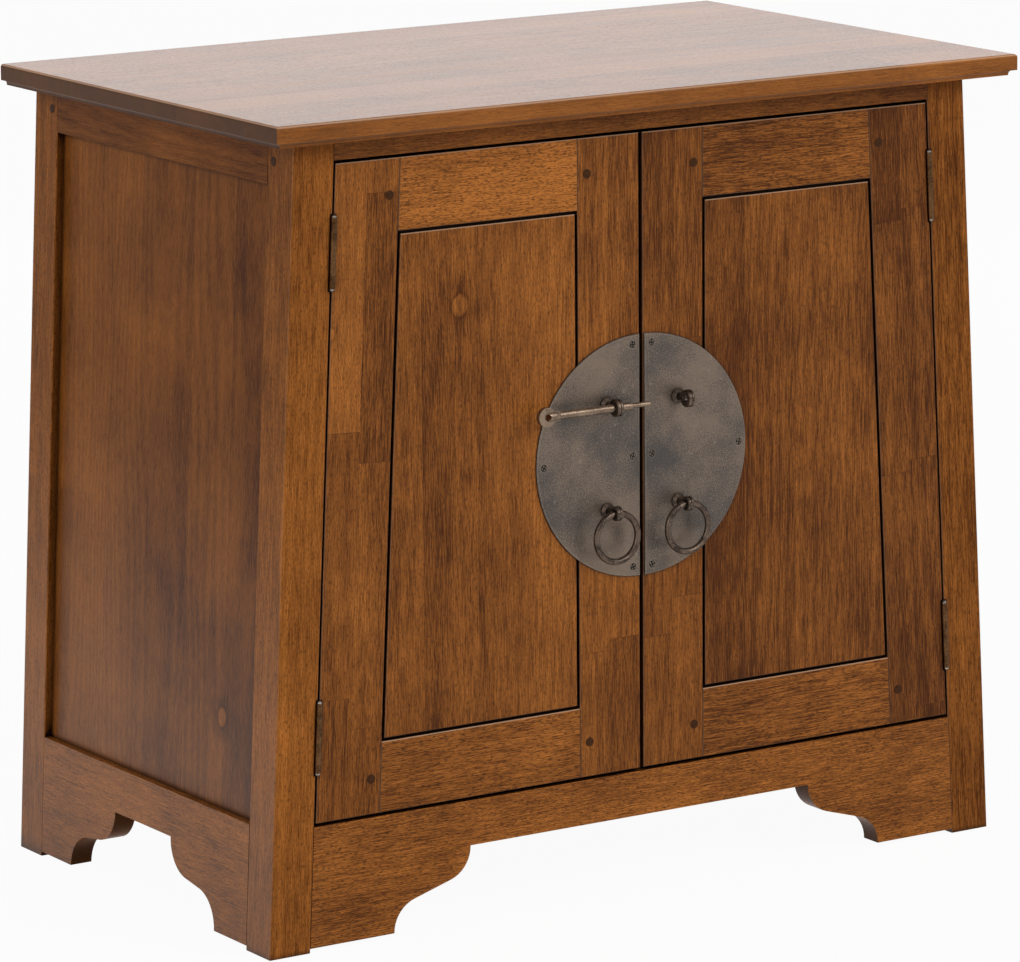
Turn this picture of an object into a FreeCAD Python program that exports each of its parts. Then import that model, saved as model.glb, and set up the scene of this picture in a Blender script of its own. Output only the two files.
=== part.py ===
import FreeCAD, Part
import math
import os
from types import SimpleNamespace

import Sketcher

# A low cabinet with leaning sides, two framed doors and a round lock plate split between them.
# The frame is pegged timber: four leaning posts, rails tenoned into them, panels held in grooves.
# X runs across the front, Y from front to back, Z up. The origin is the middle of the footprint.
# Every left-hand piece is modelled, and its right-hand partner is its mirror image.

# Driving dimensions in millimetres
SIZES = {
    # Overall form
    "top_width": 800,
    "top_depth": 500,
    "overall_height": 750,
    "base_width": 800,
    "neck_width": 726,
    "front_overhang": 35,
    # Top board and its moulded edge
    "top_thickness": 20,
    "top_lip_radius": 3,
    "top_step_height": 5,
    "top_step_inset": 6,
    "top_cove_radius": 4,
    # Posts, rails and the eased edges of the timber
    "post_width": 42,
    "post_depth": 42,
    "rail_thickness": 22,
    "front_rail_height": 20,
    "side_rail_height": 42,
    "apron_top": 115,
    "arch_crown": 73,
    "toe_lift": 4,
    "front_toe_length": 88,
    "front_bracket_run": 82,
    "front_bracket_radius": 30,
    "side_toe_length": 57,
    "side_bracket_run": 82,
    "side_bracket_radius": 33,
    "arris": 0.8,
    # Tenons, grooves and pegs
    "tenon_thickness": 8,
    "tenon_length": 24,
    "tenon_shoulder": 4,
    "tenon_inset": 7,
    "tenon_end_gap": 1,
    "toe_tenon_height": 25,
    "groove_depth": 9,
    "panel_play": 1.5,
    "peg_radius": 4,
    "peg_inset": 10,
    "peg_proud": 0.4,
    "side_peg_depth": 30,
    # Side and back panels, floor, shelf and the strips that carry them
    "side_panel_recess": 8,
    "side_panel_thickness": 8,
    "back_panel_inset": 8,
    "back_panel_thickness": 6,
    "board_clearance": 0.5,
    "floor_thickness": 16,
    "shelf_top": 428,
    "shelf_thickness": 18,
    "shelf_setback": 12,
    "cleat_height": 22,
    "door_stop_drop": 16,
    "door_stop_thickness": 18,
    # Doors
    "door_thickness": 21,
    "door_side_gap": 2,
    "door_end_gap": 3,
    "meeting_gap": 4,
    "stile_width": 66,
    "door_rail_height": 65,
    "door_tenon_length": 30,
    "door_tenon_thickness": 7,
    "door_tenon_margin": 13,
    "door_tongue_thickness": 6,
    "field_gap": 3,
    # Lock plate and its screws
    "lock_height": 411.5,
    "plate_radius": 112,
    "plate_thickness": 2,
    "plate_gap": 5.5,
    "plate_bevel": 0.8,
    "plate_screw_inset": 10.5,
    "plate_screw_reach": 103,
    "plate_screw_side_reach": 107,
    "plate_screw_head_radius": 3.5,
    "plate_screw_shank_radius": 1.7,
    "plate_screw_length": 12,
    # Eyes, their nuts, the ring pulls and the sliding lock pin
    "eye_spread": 39,
    "pin_eye_rise": 50.5,
    "ring_eye_drop": 47,
    "eye_reach": 16,
    "eye_base_radius": 6.8,
    "eye_base_edge": 1.2,
    "eye_base_dome": 2.4,
    "eye_neck_radius": 3.4,
    "pin_eye_head_radius": 8.2,
    "ring_eye_head_radius": 6.8,
    "eye_head_width": 6.6,
    "eye_head_round": 1.4,
    "eye_groove_radius": 0.7,
    "eye_nub_radius": 2.4,
    "eye_nub_height": 1,
    "eye_stem_radius": 2.5,
    "nut_height": 4,
    "nut_across_corners": 9.2,
    "ring_radius": 22.3,
    "ring_wire_radius": 3,
    "ring_clearance": 0.75,
    "pin_radius": 3.7,
    "pin_clearance": 0.4,
    "pin_head_radius": 8.8,
    "pin_head_thickness": 5,
    "pin_neck_width": 14,
    "pin_head_hole_radius": 3,
    "pin_collar_radius": 4.7,
    "pin_collar_length": 5,
    "pin_tip_radius": 2.2,
    "pin_tip_length": 21,
    "pin_tip_bevel": 0.6,
    "pin_length": 112,
    "pin_head_offset": 115,
    # Butt hinges
    "hinge_length": 63,
    "hinge_inset": 81,
    "hinge_proud": 1,
    "barrel_radius": 3,
    "barrel_relief": 0.5,
    "knuckle_gap": 0.3,
    "hinge_pin_radius": 1.6,
    "hinge_pin_clearance": 0.1,
    "hinge_tip_radius": 2.4,
    "hinge_tip_length": 2.5,
    "leaf_thickness": 1.5,
    "leaf_width": 19,
    "leaf_screw_head_radius": 3,
    "leaf_screw_shank_radius": 1.5,
    "leaf_screw_length": 14,
    "leaf_screw_pitch": 21,
    # How far a cut runs past the faces it goes through
    "overrun": 5,
}
# Two places closer than this are the same place
SAME_PLACE = 1e-6
KNUCKLES = 5
HINGE_SCREWS = 3
NUT_SIDES = 6
FULL_TURN = 360

doc = FreeCAD.newDocument("Cabinet")
sheet = doc.addObject("Spreadsheet::Sheet", "Sheet")
for row, (size_name, size_value) in enumerate(SIZES.items(), start=1):
    sheet.set(f"A{row}", size_name)
    sheet.set(f"B{row}", str(size_value))
    sheet.setAlias(f"B{row}", size_name)
doc.recompute()


class Size:
    """A length worked out from sheet cells: its value, and the expression that ties it to them."""

    def __init__(self, value, text):
        self.value = value
        self.text = text

    def __add__(self, other):
        other = as_size(other)
        return Size(self.value + other.value, f"({self.text} + {other.text})")

    def __sub__(self, other):
        other = as_size(other)
        return Size(self.value - other.value, f"({self.text} - {other.text})")

    def __mul__(self, other):
        other = as_size(other)
        return Size(self.value * other.value, f"({self.text} * {other.text})")

    def __truediv__(self, other):
        other = as_size(other)
        return Size(self.value / other.value, f"({self.text} / {other.text})")

    def __neg__(self):
        return Size(-self.value, f"(0 - {self.text})")

    def __radd__(self, other):
        return as_size(other) + self

    def __rsub__(self, other):
        return as_size(other) - self

    def __rmul__(self, other):
        return as_size(other) * self


def as_size(number):
    """A plain count or share, ready to be combined with sizes."""
    return number if isinstance(number, Size) else Size(number, repr(number))


ZERO = as_size(0)
s = SimpleNamespace(**{name: Size(sheet.get(name), f"Sheet.{name}") for name in SIZES})


# Sketches and features
def bind(target, path, size):
    """Ties one property of an object to a size."""
    target.setExpression(path, as_size(size).text)


def new_body(label):
    """An empty body that may hold several separate solids."""
    body = doc.addObject("PartDesign::Body", label)
    body.Label = label
    body.AllowCompound = True
    return body


def new_sketch(body, plane, level):
    """A sketch on one of the body's origin planes, moved to a level along the third axis."""
    sketch = body.newObject("Sketcher::SketchObject", f"{body.Name}_{plane}_outline")
    planes = {feature.Role: feature for feature in body.Origin.OriginFeatures}
    sketch.AttachmentSupport = [(planes[f"{plane}_Plane"], "")]
    sketch.MapMode = "FlatFace"
    # The XZ plane faces forwards, against the Y axis
    bind(sketch, "AttachmentOffset.Base.z", -level if plane == "XZ" else level)
    return sketch


def hold(sketch, geometry, point, across=None, up=None):
    """Holds one point of a sketch at its distances from the sketch's origin."""
    for kind, size in (("DistanceX", across), ("DistanceY", up)):
        if size is not None:
            size = as_size(size)
            index = sketch.addConstraint(Sketcher.Constraint(kind, -1, 1, geometry, point, size.value))
            bind(sketch, f"Constraints[{index}]", size)


def set_radius(sketch, geometry, radius):
    """Sets the radius of a circle or an arc."""
    index = sketch.addConstraint(Sketcher.Constraint("Radius", geometry, radius.value))
    bind(sketch, f"Constraints[{index}]", radius)


def join(sketch, first, first_end, second, second_end, kind="Coincident"):
    """Joins an end of one edge to an end of another."""
    sketch.addConstraint(Sketcher.Constraint(kind, first, first_end, second, second_end))


def add_line(sketch, start, end):
    """A straight edge between two points given as pairs of plain numbers."""
    return sketch.addGeometry(Part.LineSegment(FreeCAD.Vector(*start, 0), FreeCAD.Vector(*end, 0)))


def add_arc(sketch, centre, radius, start_angle, end_angle):
    """A round edge, counter-clockwise between two angles in radians."""
    circle = Part.Circle(FreeCAD.Vector(*centre, 0), FreeCAD.Vector(0, 0, 1), radius)
    return sketch.addGeometry(Part.ArcOfCircle(circle, start_angle, end_angle))


def add_outline(sketch, corners):
    """A closed outline of straight edges through corners given as pairs of sizes."""
    corners = [(as_size(across), as_size(up)) for across, up in corners]
    places = [(across.value, up.value) for across, up in corners]
    following = places[1:] + places[:1]
    edges = [add_line(sketch, start, end) for start, end in zip(places, following)]
    for edge, next_edge in zip(edges, edges[1:] + edges[:1]):
        join(sketch, edge, 2, next_edge, 1)
    for edge, (across, up) in zip(edges, corners):
        hold(sketch, edge, 1, across, up)


def add_circles(sketch, centres, radius):
    """Circles of one radius round centres given as pairs of sizes."""
    for across, up in centres:
        across, up = as_size(across), as_size(up)
        centre = FreeCAD.Vector(across.value, up.value, 0)
        circle = sketch.addGeometry(Part.Circle(centre, FreeCAD.Vector(0, 0, 1), radius.value))
        set_radius(sketch, circle, radius)
        hold(sketch, circle, 3, across, up)


def rectangle(low_across, high_across, low_up, high_up):
    """The corners of an upright rectangle."""
    return [(low_across, low_up), (high_across, low_up), (high_across, high_up), (low_across, high_up)]


def add_prism(body, plane, low, high, draw, kind="PartDesign::Pad"):
    """A pad or pocket that fills the span from low to high across the given plane."""
    low, high = as_size(low), as_size(high)
    # A pad grows along the plane's facing and a pocket against it, and XZ faces down the Y axis
    starts_low = (kind == "PartDesign::Pad") != (plane == "XZ")
    sketch = new_sketch(body, plane, low if starts_low else high)
    draw(sketch)
    feature = body.newObject(kind, f"{body.Name}_{kind.split('::')[1]}")
    feature.Profile = sketch
    bind(feature, "Length", high - low)
    body.Tip = feature
    return feature


def add_slab(body, plane, low, high, *outlines, kind="PartDesign::Pad"):
    """A prism with straight-edged outlines."""
    def draw(sketch):
        for corners in outlines:
            add_outline(sketch, corners)
    return add_prism(body, plane, low, high, draw, kind)


def cut_slab(body, plane, low, high, *outlines):
    """Takes a straight-edged prism out of a body."""
    return add_slab(body, plane, low, high, *outlines, kind="PartDesign::Pocket")


def add_tapered_heads(body, plane, level, depth, centres, head_radius, shank_radius, forwards):
    """Countersunk heads that narrow from a face at level to the shank's radius."""
    sketch = new_sketch(body, plane, level)
    add_circles(sketch, centres, head_radius)
    heads = body.newObject("PartDesign::Pad", f"{body.Name}_heads")
    heads.Profile = sketch
    heads.Reversed = not forwards
    bind(heads, "Length", depth)
    narrowing = (head_radius - shank_radius) / depth
    heads.setExpression("TaperAngle", f"-1 * atan({narrowing.text})")
    body.Tip = heads


def dress(body, kind, size_name, size, wanted):
    """Eases the edges of the body's shape so far that the wanted test picks out."""
    doc.recompute()
    base = body.Tip
    names = [f"Edge{i}" for i, edge in enumerate(base.Shape.Edges, start=1) if wanted(edge)]
    feature = body.newObject(kind, f"{body.Name}_{kind.split('::')[1]}")
    feature.Base = (base, names)
    bind(feature, size_name, size)
    body.Tip = feature


def lies_at(edge, axis, level):
    """True for an edge that lies in the plane at level along an axis, given as x, y or z."""
    places = [getattr(vertex.Point, axis) for vertex in edge.Vertexes]
    return all(math.isclose(place, level.value, abs_tol=SAME_PLACE) for place in places)


def cut_out(label, base, *tools):
    """The base with each tool's shape taken out of it in turn."""
    for number, tool in enumerate(tools, start=1):
        cut = doc.addObject("Part::Cut", f"{label}_cut_{number}")
        cut.Base = base
        cut.Tool = tool
        base = cut
    base.Label = label
    return base


def mirrored(label, source):
    """The right-hand partner of a left-hand piece."""
    partner = doc.addObject("Part::Mirroring", label)
    partner.Label = label
    partner.Source = source
    partner.Base = FreeCAD.Vector(0, 0, 0)
    partner.Normal = FreeCAD.Vector(1, 0, 0)
    return partner


def grouped(label, *members):
    """Separate solids that share one node."""
    group = doc.addObject("Part::Compound", label)
    group.Label = label
    group.Links = list(members)
    return group


nodes = []


def keep(piece):
    """Lists a finished piece for export under its label."""
    nodes.append(piece)
    return piece


def keep_pair(name, left_piece):
    """Keeps a left-hand piece and its mirrored partner."""
    left_piece.Label = f"left_{name}"
    keep(left_piece)
    keep(mirrored(f"right_{name}", left_piece))


# Levels and faces that many pieces share
underside = s.overall_height - s.top_thickness
slope = (s.base_width - s.neck_width) / 2 / underside
front = s.front_overhang - s.top_depth / 2
back = s.top_depth / 2
front_post_back = front + s.post_depth
back_post_front = back - s.post_depth
side_middle = (front_post_back + back_post_front) / 2
sill = s.apron_top
head = underside - s.front_rail_height
rail_bottom = underside - s.side_rail_height
tongue_depth = s.groove_depth - s.panel_play
lean_angle = Size(math.degrees(math.atan(slope.value)), f"atan({slope.text})")
lean_cosine = Size(math.cos(math.atan(slope.value)), f"cos(atan({slope.text}))")


def lean_x(inset, height):
    """How far across a point lies that is inset from the leaning left face, at a height."""
    return inset - (s.base_width / 2 - slope * height)


def leaning(inset, far_inset, low, high):
    """The corners of an upright strip that leans with the left side."""
    return [(lean_x(inset, low), low), (lean_x(far_inset, low), low),
            (lean_x(far_inset, high), high), (lean_x(inset, high), high)]


def spanning(inset, low, high):
    """The corners of a board between both sides, inset alike from the two leaning faces."""
    return [(lean_x(inset, low), low), (-lean_x(inset, low), low),
            (-lean_x(inset, high), high), (lean_x(inset, high), high)]


def stand_on_side(body, inset, forward):
    """Turns a body's upright axis to lean with the left side, at an inset from its face."""
    body.Placement = FreeCAD.Placement(FreeCAD.Vector(), FreeCAD.Rotation(FreeCAD.Vector(0, 1, 0), 1))
    bind(body, "Placement.Base.x", lean_x(inset, ZERO))
    bind(body, "Placement.Base.y", forward)
    bind(body, "Placement.Rotation.Angle", lean_angle)


# Heights of the tenons: side rails, side and front aprons, front rail, back rails
side_rail_tenon = (rail_bottom + s.groove_depth + s.tenon_shoulder, underside - s.tenon_shoulder)
apron_tenon = (s.toe_tenon_height, sill - s.groove_depth - s.tenon_shoulder)
front_rail_tenon = (head + s.tenon_shoulder, underside - s.tenon_shoulder)
back_bottom_tenon = (s.arch_crown + s.tenon_shoulder, sill - s.groove_depth - s.tenon_shoulder)
tenon_reach = s.tenon_length - s.tenon_end_gap
side_tenon_insets = (s.tenon_inset, s.tenon_inset + s.tenon_thickness)
cross_tenon_insets = (s.post_width - s.tenon_length, s.post_width)


def add_arch(sketch, middle, toe_half, notch_half, radius):
    """The cut-out under an apron: a flat crown between two S-curved brackets."""
    run, rise = toe_half - notch_half, s.arch_crown - s.toe_lift
    lean_of_centres = math.atan2(rise.value, run.value - 2 * radius.value)
    apart = math.hypot(rise.value, run.value - 2 * radius.value)
    turn = math.pi / 2 - lean_of_centres + math.asin(2 * radius.value / apart)
    toe, crown, r = s.toe_lift.value, s.arch_crown.value, radius.value
    across, up = r * math.cos(turn), r * math.sin(turn)
    ends = []
    for side in (-1, 1):
        toe_at, notch_at = middle + side * toe_half, middle + side * notch_half
        low_centre = (toe_at.value - side * r, toe)
        high_centre = (notch_at.value + side * r, crown)
        if side < 0:
            low_arc = add_arc(sketch, low_centre, r, math.pi - turn, math.pi)
            high_arc = add_arc(sketch, high_centre, r, -turn, 0)
        else:
            low_arc = add_arc(sketch, low_centre, r, 0, turn)
            high_arc = add_arc(sketch, high_centre, r, math.pi, math.pi + turn)
        toe_end, notch_end = (2, 2) if side < 0 else (1, 1)
        flank = add_line(sketch, (low_centre[0] + side * across, toe + up),
                         (high_centre[0] - side * across, crown - up))
        drop = add_line(sketch, (toe_at.value, toe), (toe_at.value, 0))
        for arc in (low_arc, high_arc):
            set_radius(sketch, arc, radius)
        hold(sketch, low_arc, 3, up=s.toe_lift)
        hold(sketch, high_arc, 3, up=s.arch_crown)
        hold(sketch, low_arc, toe_end, toe_at, s.toe_lift)
        hold(sketch, high_arc, notch_end, notch_at, s.arch_crown)
        join(sketch, flank, 1, low_arc, 3 - toe_end, "Tangent")
        join(sketch, flank, 2, high_arc, 3 - notch_end, "Tangent")
        join(sketch, drop, 1, low_arc, toe_end)
        hold(sketch, drop, 2, toe_at, ZERO)
        ends.append((toe_at.value, notch_at.value, drop, high_arc, notch_end))
    (left_toe, left_notch, left_drop, left_arc, left_end) = ends[0]
    (right_toe, right_notch, right_drop, right_arc, right_end) = ends[1]
    crown_edge = add_line(sketch, (left_notch, crown), (right_notch, crown))
    join(sketch, crown_edge, 1, left_arc, left_end)
    join(sketch, crown_edge, 2, right_arc, right_end)
    base_edge = add_line(sketch, (left_toe, 0), (right_toe, 0))
    join(sketch, base_edge, 1, left_drop, 2)
    join(sketch, base_edge, 2, right_drop, 2)


# Carcass
def make_top_board():
    """The overhanging top: a rounded lip above a stepped cove, plain along the wall."""
    body = new_body("top_board")
    half, step = s.top_width / 2, s.top_step_inset
    step_top = underside + s.top_step_height
    add_slab(body, "XY", step_top, s.overall_height, rectangle(-half, half, -back, back))
    add_slab(body, "XY", underside, step_top, rectangle(step - half, half - step, step - back, back))
    dress(body, "PartDesign::Fillet", "Radius", s.top_lip_radius,
          lambda edge: lies_at(edge, "z", s.overall_height) and not lies_at(edge, "y", back))
    inner = half - step

    def in_the_cove(edge):
        beside = any(lies_at(edge, *place) for place in (("x", inner), ("x", -inner), ("y", step - back)))
        return beside and lies_at(edge, "z", step_top)
    dress(body, "PartDesign::Fillet", "Radius", s.top_cove_radius, in_the_cove)
    return keep(body)


def make_front_post():
    """A front post, mortised for both aprons and rails and grooved for the side panel."""
    body = new_body("front_post_blank")
    add_slab(body, "XZ", front, front_post_back, leaning(ZERO, s.post_width, ZERO, underside))
    ease_upright_edges(body, underside)
    for tenon in (side_rail_tenon, apron_tenon):
        cut_slab(body, "XZ", front_post_back - s.tenon_length, front_post_back,
                 leaning(*side_tenon_insets, *tenon))
    cut_slab(body, "XZ", front_post_back - s.groove_depth, front_post_back, side_groove())
    for tenon in (front_rail_tenon, apron_tenon):
        cut_slab(body, "XZ", front + s.tenon_inset, front + s.tenon_inset + s.tenon_thickness,
                 leaning(*cross_tenon_insets, *tenon))
    return body


def make_back_post():
    """A back post, mortised for the side and back rails and grooved for both panels."""
    body = new_body("back_post_blank")
    add_slab(body, "XZ", back_post_front, back, leaning(ZERO, s.post_width, ZERO, underside))
    ease_upright_edges(body, underside)
    for tenon in (side_rail_tenon, apron_tenon):
        cut_slab(body, "XZ", back_post_front, back_post_front + s.tenon_length,
                 leaning(*side_tenon_insets, *tenon))
    cut_slab(body, "XZ", back_post_front, back_post_front + s.groove_depth, side_groove())
    for tenon in (side_rail_tenon, back_bottom_tenon):
        cut_slab(body, "XZ", back - s.tenon_inset - s.tenon_thickness, back - s.tenon_inset,
                 leaning(*cross_tenon_insets, *tenon))
    cut_slab(body, "XZ", *back_panel_span(),
             leaning(s.post_width - s.groove_depth, s.post_width,
                     sill - s.groove_depth, rail_bottom + s.groove_depth))
    return body


def ease_upright_edges(body, height):
    """Takes the sharpness off the long edges of a post."""
    dress(body, "PartDesign::Chamfer", "Size", s.arris,
          lambda edge: not lies_at(edge, "z", ZERO) and not lies_at(edge, "z", height))


def side_groove():
    """The groove that holds a side panel, seen from the front."""
    return leaning(s.side_panel_recess, s.side_panel_recess + s.side_panel_thickness,
                   sill - s.groove_depth, rail_bottom + s.groove_depth)


def back_panel_span():
    """Where the back panel lies between front and back."""
    return back - s.back_panel_inset - s.back_panel_thickness, back - s.back_panel_inset


def ease_face(body, level):
    """Takes the sharpness off the edges round a face that looks forwards or backwards."""
    dress(body, "PartDesign::Chamfer", "Size", s.arris, lambda edge: lies_at(edge, "y", level))


def make_side_top_rail():
    """The rail between a front and a back post under the top."""
    body = new_body("side_top_rail_blank")
    add_slab(body, "XZ", front_post_back, back_post_front,
             leaning(ZERO, s.rail_thickness, rail_bottom, underside))
    add_slab(body, "XZ", front_post_back - tenon_reach, back_post_front + tenon_reach,
             leaning(*side_tenon_insets, *side_rail_tenon))
    cut_slab(body, "XZ", front_post_back, back_post_front, side_groove())
    return body


def make_side_apron():
    """The lower side rail, cut to an arch that leaves two bracket feet."""
    body = new_body("left_apron")
    add_slab(body, "XZ", front_post_back, back_post_front,
             leaning(ZERO, s.rail_thickness, s.toe_lift, sill))
    add_slab(body, "XZ", front_post_back - tenon_reach, back_post_front + tenon_reach,
             leaning(*side_tenon_insets, *apron_tenon))
    cut_slab(body, "XZ", front_post_back, back_post_front, side_groove())
    toe_half = (back_post_front - front_post_back) / 2 - s.side_toe_length
    outer = lean_x(ZERO, ZERO)
    add_prism(body, "YZ", outer - s.overrun, outer + s.rail_thickness + s.tenon_length,
              lambda sketch: add_arch(sketch, side_middle, toe_half, toe_half - s.side_bracket_run,
                                      s.side_bracket_radius),
              "PartDesign::Pocket")
    return body


def make_side_panel():
    """The thin board that fills a side frame, let into grooves on all four edges."""
    body = new_body("left_panel")
    add_slab(body, "XZ", front_post_back - tongue_depth, back_post_front + tongue_depth,
             leaning(s.side_panel_recess, s.side_panel_recess + s.side_panel_thickness,
                     sill - tongue_depth, rail_bottom + tongue_depth))
    return body


front_span = (front, front + s.rail_thickness)
back_span = (back - s.rail_thickness, back)


def make_cross_rail(label, low, high, tenon, near, far, grooved):
    """A rail between the left and right posts, with a tenon at each end."""
    body = new_body(label)
    add_slab(body, "XZ", near, far, spanning(s.post_width, low, high))
    tongue_near = near + s.tenon_inset if near is front else far - s.tenon_inset - s.tenon_thickness
    add_slab(body, "XZ", tongue_near, tongue_near + s.tenon_thickness,
             spanning(s.post_width - tenon_reach, *tenon))
    if grooved:
        cut_slab(body, "XZ", *back_panel_span(),
                 spanning(s.post_width, sill - s.groove_depth, rail_bottom + s.groove_depth))
    return body


def make_front_apron():
    """The front lower rail, arched like the side aprons."""
    body = make_cross_rail("front_apron", s.toe_lift, sill, apron_tenon, *front_span, False)
    toe_half = -lean_x(s.post_width, s.toe_lift) - s.front_toe_length
    add_prism(body, "XZ", front - s.overrun, front + s.rail_thickness + s.overrun,
              lambda sketch: add_arch(sketch, ZERO, toe_half, toe_half - s.front_bracket_run,
                                      s.front_bracket_radius),
              "PartDesign::Pocket")
    return body


def make_back_panel():
    """The thin board across the back, let into grooves on all four edges."""
    body = new_body("back_panel")
    add_slab(body, "XZ", *back_panel_span(),
             spanning(s.post_width - tongue_depth, sill - tongue_depth, rail_bottom + tongue_depth))
    return body


def make_notched_board(label, top, thickness, side_inset, near, far):
    """A level board that reaches both sides and is notched round the four posts."""
    body = new_body(label)
    reach = -lean_x(side_inset, top) - s.board_clearance
    neck = -lean_x(s.post_width, top) - s.board_clearance
    notch_near, notch_far = front_post_back + s.board_clearance, back_post_front - s.board_clearance
    add_slab(body, "XY", top - thickness, top, [
        (-neck, near), (neck, near), (neck, notch_near), (reach, notch_near),
        (reach, notch_far), (neck, notch_far), (neck, far), (-neck, far),
        (-neck, notch_far), (-reach, notch_far), (-reach, notch_near), (-neck, notch_near)])
    return body


def make_cleats(label, top, inset):
    """A pair of strips between the posts, one on each side, that carry a board."""
    body = new_body(f"{label}_left")
    add_slab(body, "XZ", front_post_back, back_post_front,
             leaning(inset, s.post_width, top - s.cleat_height, top))
    return grouped(label, body, mirrored(f"{label}_right", body))


def make_door_stop():
    """The strip behind the front rail that the doors close against."""
    body = new_body("door_stop")
    near = front + s.rail_thickness
    add_slab(body, "XZ", near, near + s.door_stop_thickness,
             spanning(s.post_width, head - s.door_stop_drop, underside))
    return body


def make_side_pegs():
    """The pegs through the left posts that lock the side rail's tenons."""
    body = new_body("side_pegs_left")
    peg_height = (rail_bottom + underside) / 2 / lean_cosine
    places = [(front_post_back - s.peg_inset, peg_height), (back_post_front + s.peg_inset, peg_height)]
    add_prism(body, "YZ", -s.peg_proud, s.side_peg_depth,
              lambda sketch: add_circles(sketch, places, s.peg_radius))
    stand_on_side(body, ZERO, ZERO)
    return body


# Doors
door_back = front + s.door_thickness
door_bottom = sill + s.door_end_gap
door_top = head - s.door_end_gap
hinge_edge = s.post_width + s.door_side_gap
hinge_shoulder = hinge_edge + s.stile_width
lock_edge = -s.meeting_gap / 2
lock_shoulder = lock_edge - s.stile_width
panel_bottom = door_bottom + s.door_rail_height
panel_top = door_top - s.door_rail_height
door_middle = (front + door_back) / 2


def door_outline(inset, inner, low, high):
    """The corners of a board that leans on its hinge side and is upright on its lock side."""
    return [(lean_x(inset, low), low), (inner, low), (inner, high), (lean_x(inset, high), high)]


def thickness_span(thickness):
    """A layer of the given thickness in the middle of a door."""
    return door_middle - thickness / 2, door_middle + thickness / 2


def cut_door_groove(body):
    """Takes the groove for the door panel out of one part of the door's frame."""
    cut_slab(body, "XZ", *thickness_span(s.door_tongue_thickness),
             door_outline(hinge_shoulder - s.groove_depth, lock_shoulder + s.groove_depth,
                          panel_bottom - s.groove_depth, panel_top + s.groove_depth))


def door_rail_tenons():
    """The heights of the bottom and top rails' tenons."""
    return ((door_bottom + s.door_tenon_margin, panel_bottom - s.door_tenon_margin),
            (panel_top + s.door_tenon_margin, door_top - s.door_tenon_margin))


def make_door_stile(label, outline, tenon_outline):
    """An upright of the door's frame, mortised for both rails and grooved for the panel."""
    body = new_body(label)
    add_slab(body, "XZ", front, door_back, outline)
    ease_face(body, front)
    for tenon in door_rail_tenons():
        cut_slab(body, "XZ", *thickness_span(s.door_tenon_thickness), tenon_outline(*tenon))
    cut_door_groove(body)
    return body


def make_hinge_stile():
    """The leaning stile that carries the hinges."""
    return make_door_stile(
        "hinge_stile_blank", leaning(hinge_edge, hinge_shoulder, door_bottom, door_top),
        lambda low, high: leaning(hinge_shoulder - s.door_tenon_length, hinge_shoulder, low, high))


def make_lock_stile():
    """The upright stile beside the meeting line."""
    return make_door_stile(
        "lock_stile_blank", rectangle(lock_shoulder, lock_edge, door_bottom, door_top),
        lambda low, high: rectangle(lock_shoulder, lock_shoulder + s.door_tenon_length, low, high))


def make_door_rail(label, low, high, tenon):
    """A rail of the door's frame, tenoned into both stiles."""
    body = new_body(label)
    reach = s.door_tenon_length - s.tenon_end_gap
    add_slab(body, "XZ", front, door_back, door_outline(hinge_shoulder, lock_shoulder, low, high))
    ease_face(body, front)
    add_slab(body, "XZ", *thickness_span(s.door_tenon_thickness),
             door_outline(hinge_shoulder - reach, lock_shoulder + reach, *tenon))
    cut_door_groove(body)
    return body


def make_door_panel():
    """A panel with a raised field flush with the frame and a thin tongue in its grooves."""
    body = new_body("door_panel_blank")
    tongue_near, tongue_far = thickness_span(s.door_tongue_thickness)
    add_slab(body, "XZ", front, tongue_far,
             door_outline(hinge_shoulder + s.field_gap, lock_shoulder - s.field_gap,
                          panel_bottom + s.field_gap, panel_top - s.field_gap))
    ease_face(body, front)
    add_slab(body, "XZ", tongue_near, tongue_far,
             door_outline(hinge_shoulder - tongue_depth, lock_shoulder + tongue_depth,
                          panel_bottom - tongue_depth, panel_top + tongue_depth))
    return body


def make_door_pegs():
    """The pegs that lock the door rails' tenons, one in each corner."""
    body = new_body("left_door_pegs")
    places = []
    for height in ((door_bottom + panel_bottom) / 2, (panel_top + door_top) / 2):
        places.append((lean_x(hinge_shoulder - s.peg_inset, height), height))
        places.append((lock_shoulder + s.peg_inset, height))
    add_prism(body, "XZ", front - s.peg_proud, door_back,
              lambda sketch: add_circles(sketch, places, s.peg_radius))
    return body


# Lock plate and what is fixed to it
plate_face = front - s.plate_thickness
eye_line = plate_face - s.eye_reach
pin_eye_height = s.lock_height + s.pin_eye_rise
ring_eye_height = s.lock_height - s.ring_eye_drop


def make_lock_plate():
    """One half of the round iron plate: a half disc about the middle of its straight edge."""
    body = new_body("lock_plate_blank")
    edge = -s.plate_gap / 2

    def half_disc(sketch):
        middle, radius = s.lock_height.value, s.plate_radius.value
        rim = add_arc(sketch, (edge.value, middle), radius, math.pi / 2, 3 * math.pi / 2)
        straight = add_line(sketch, (edge.value, middle + radius), (edge.value, middle - radius))
        hold(sketch, rim, 3, edge, s.lock_height)
        set_radius(sketch, rim, s.plate_radius)
        hold(sketch, rim, 1, across=edge)
        hold(sketch, rim, 2, across=edge)
        join(sketch, straight, 1, rim, 1)
        join(sketch, straight, 2, rim, 2)
    add_prism(body, "XZ", plate_face, front, half_disc)
    dress(body, "PartDesign::Chamfer", "Size", s.plate_bevel, lambda part: lies_at(part, "y", plate_face))
    return body


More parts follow.
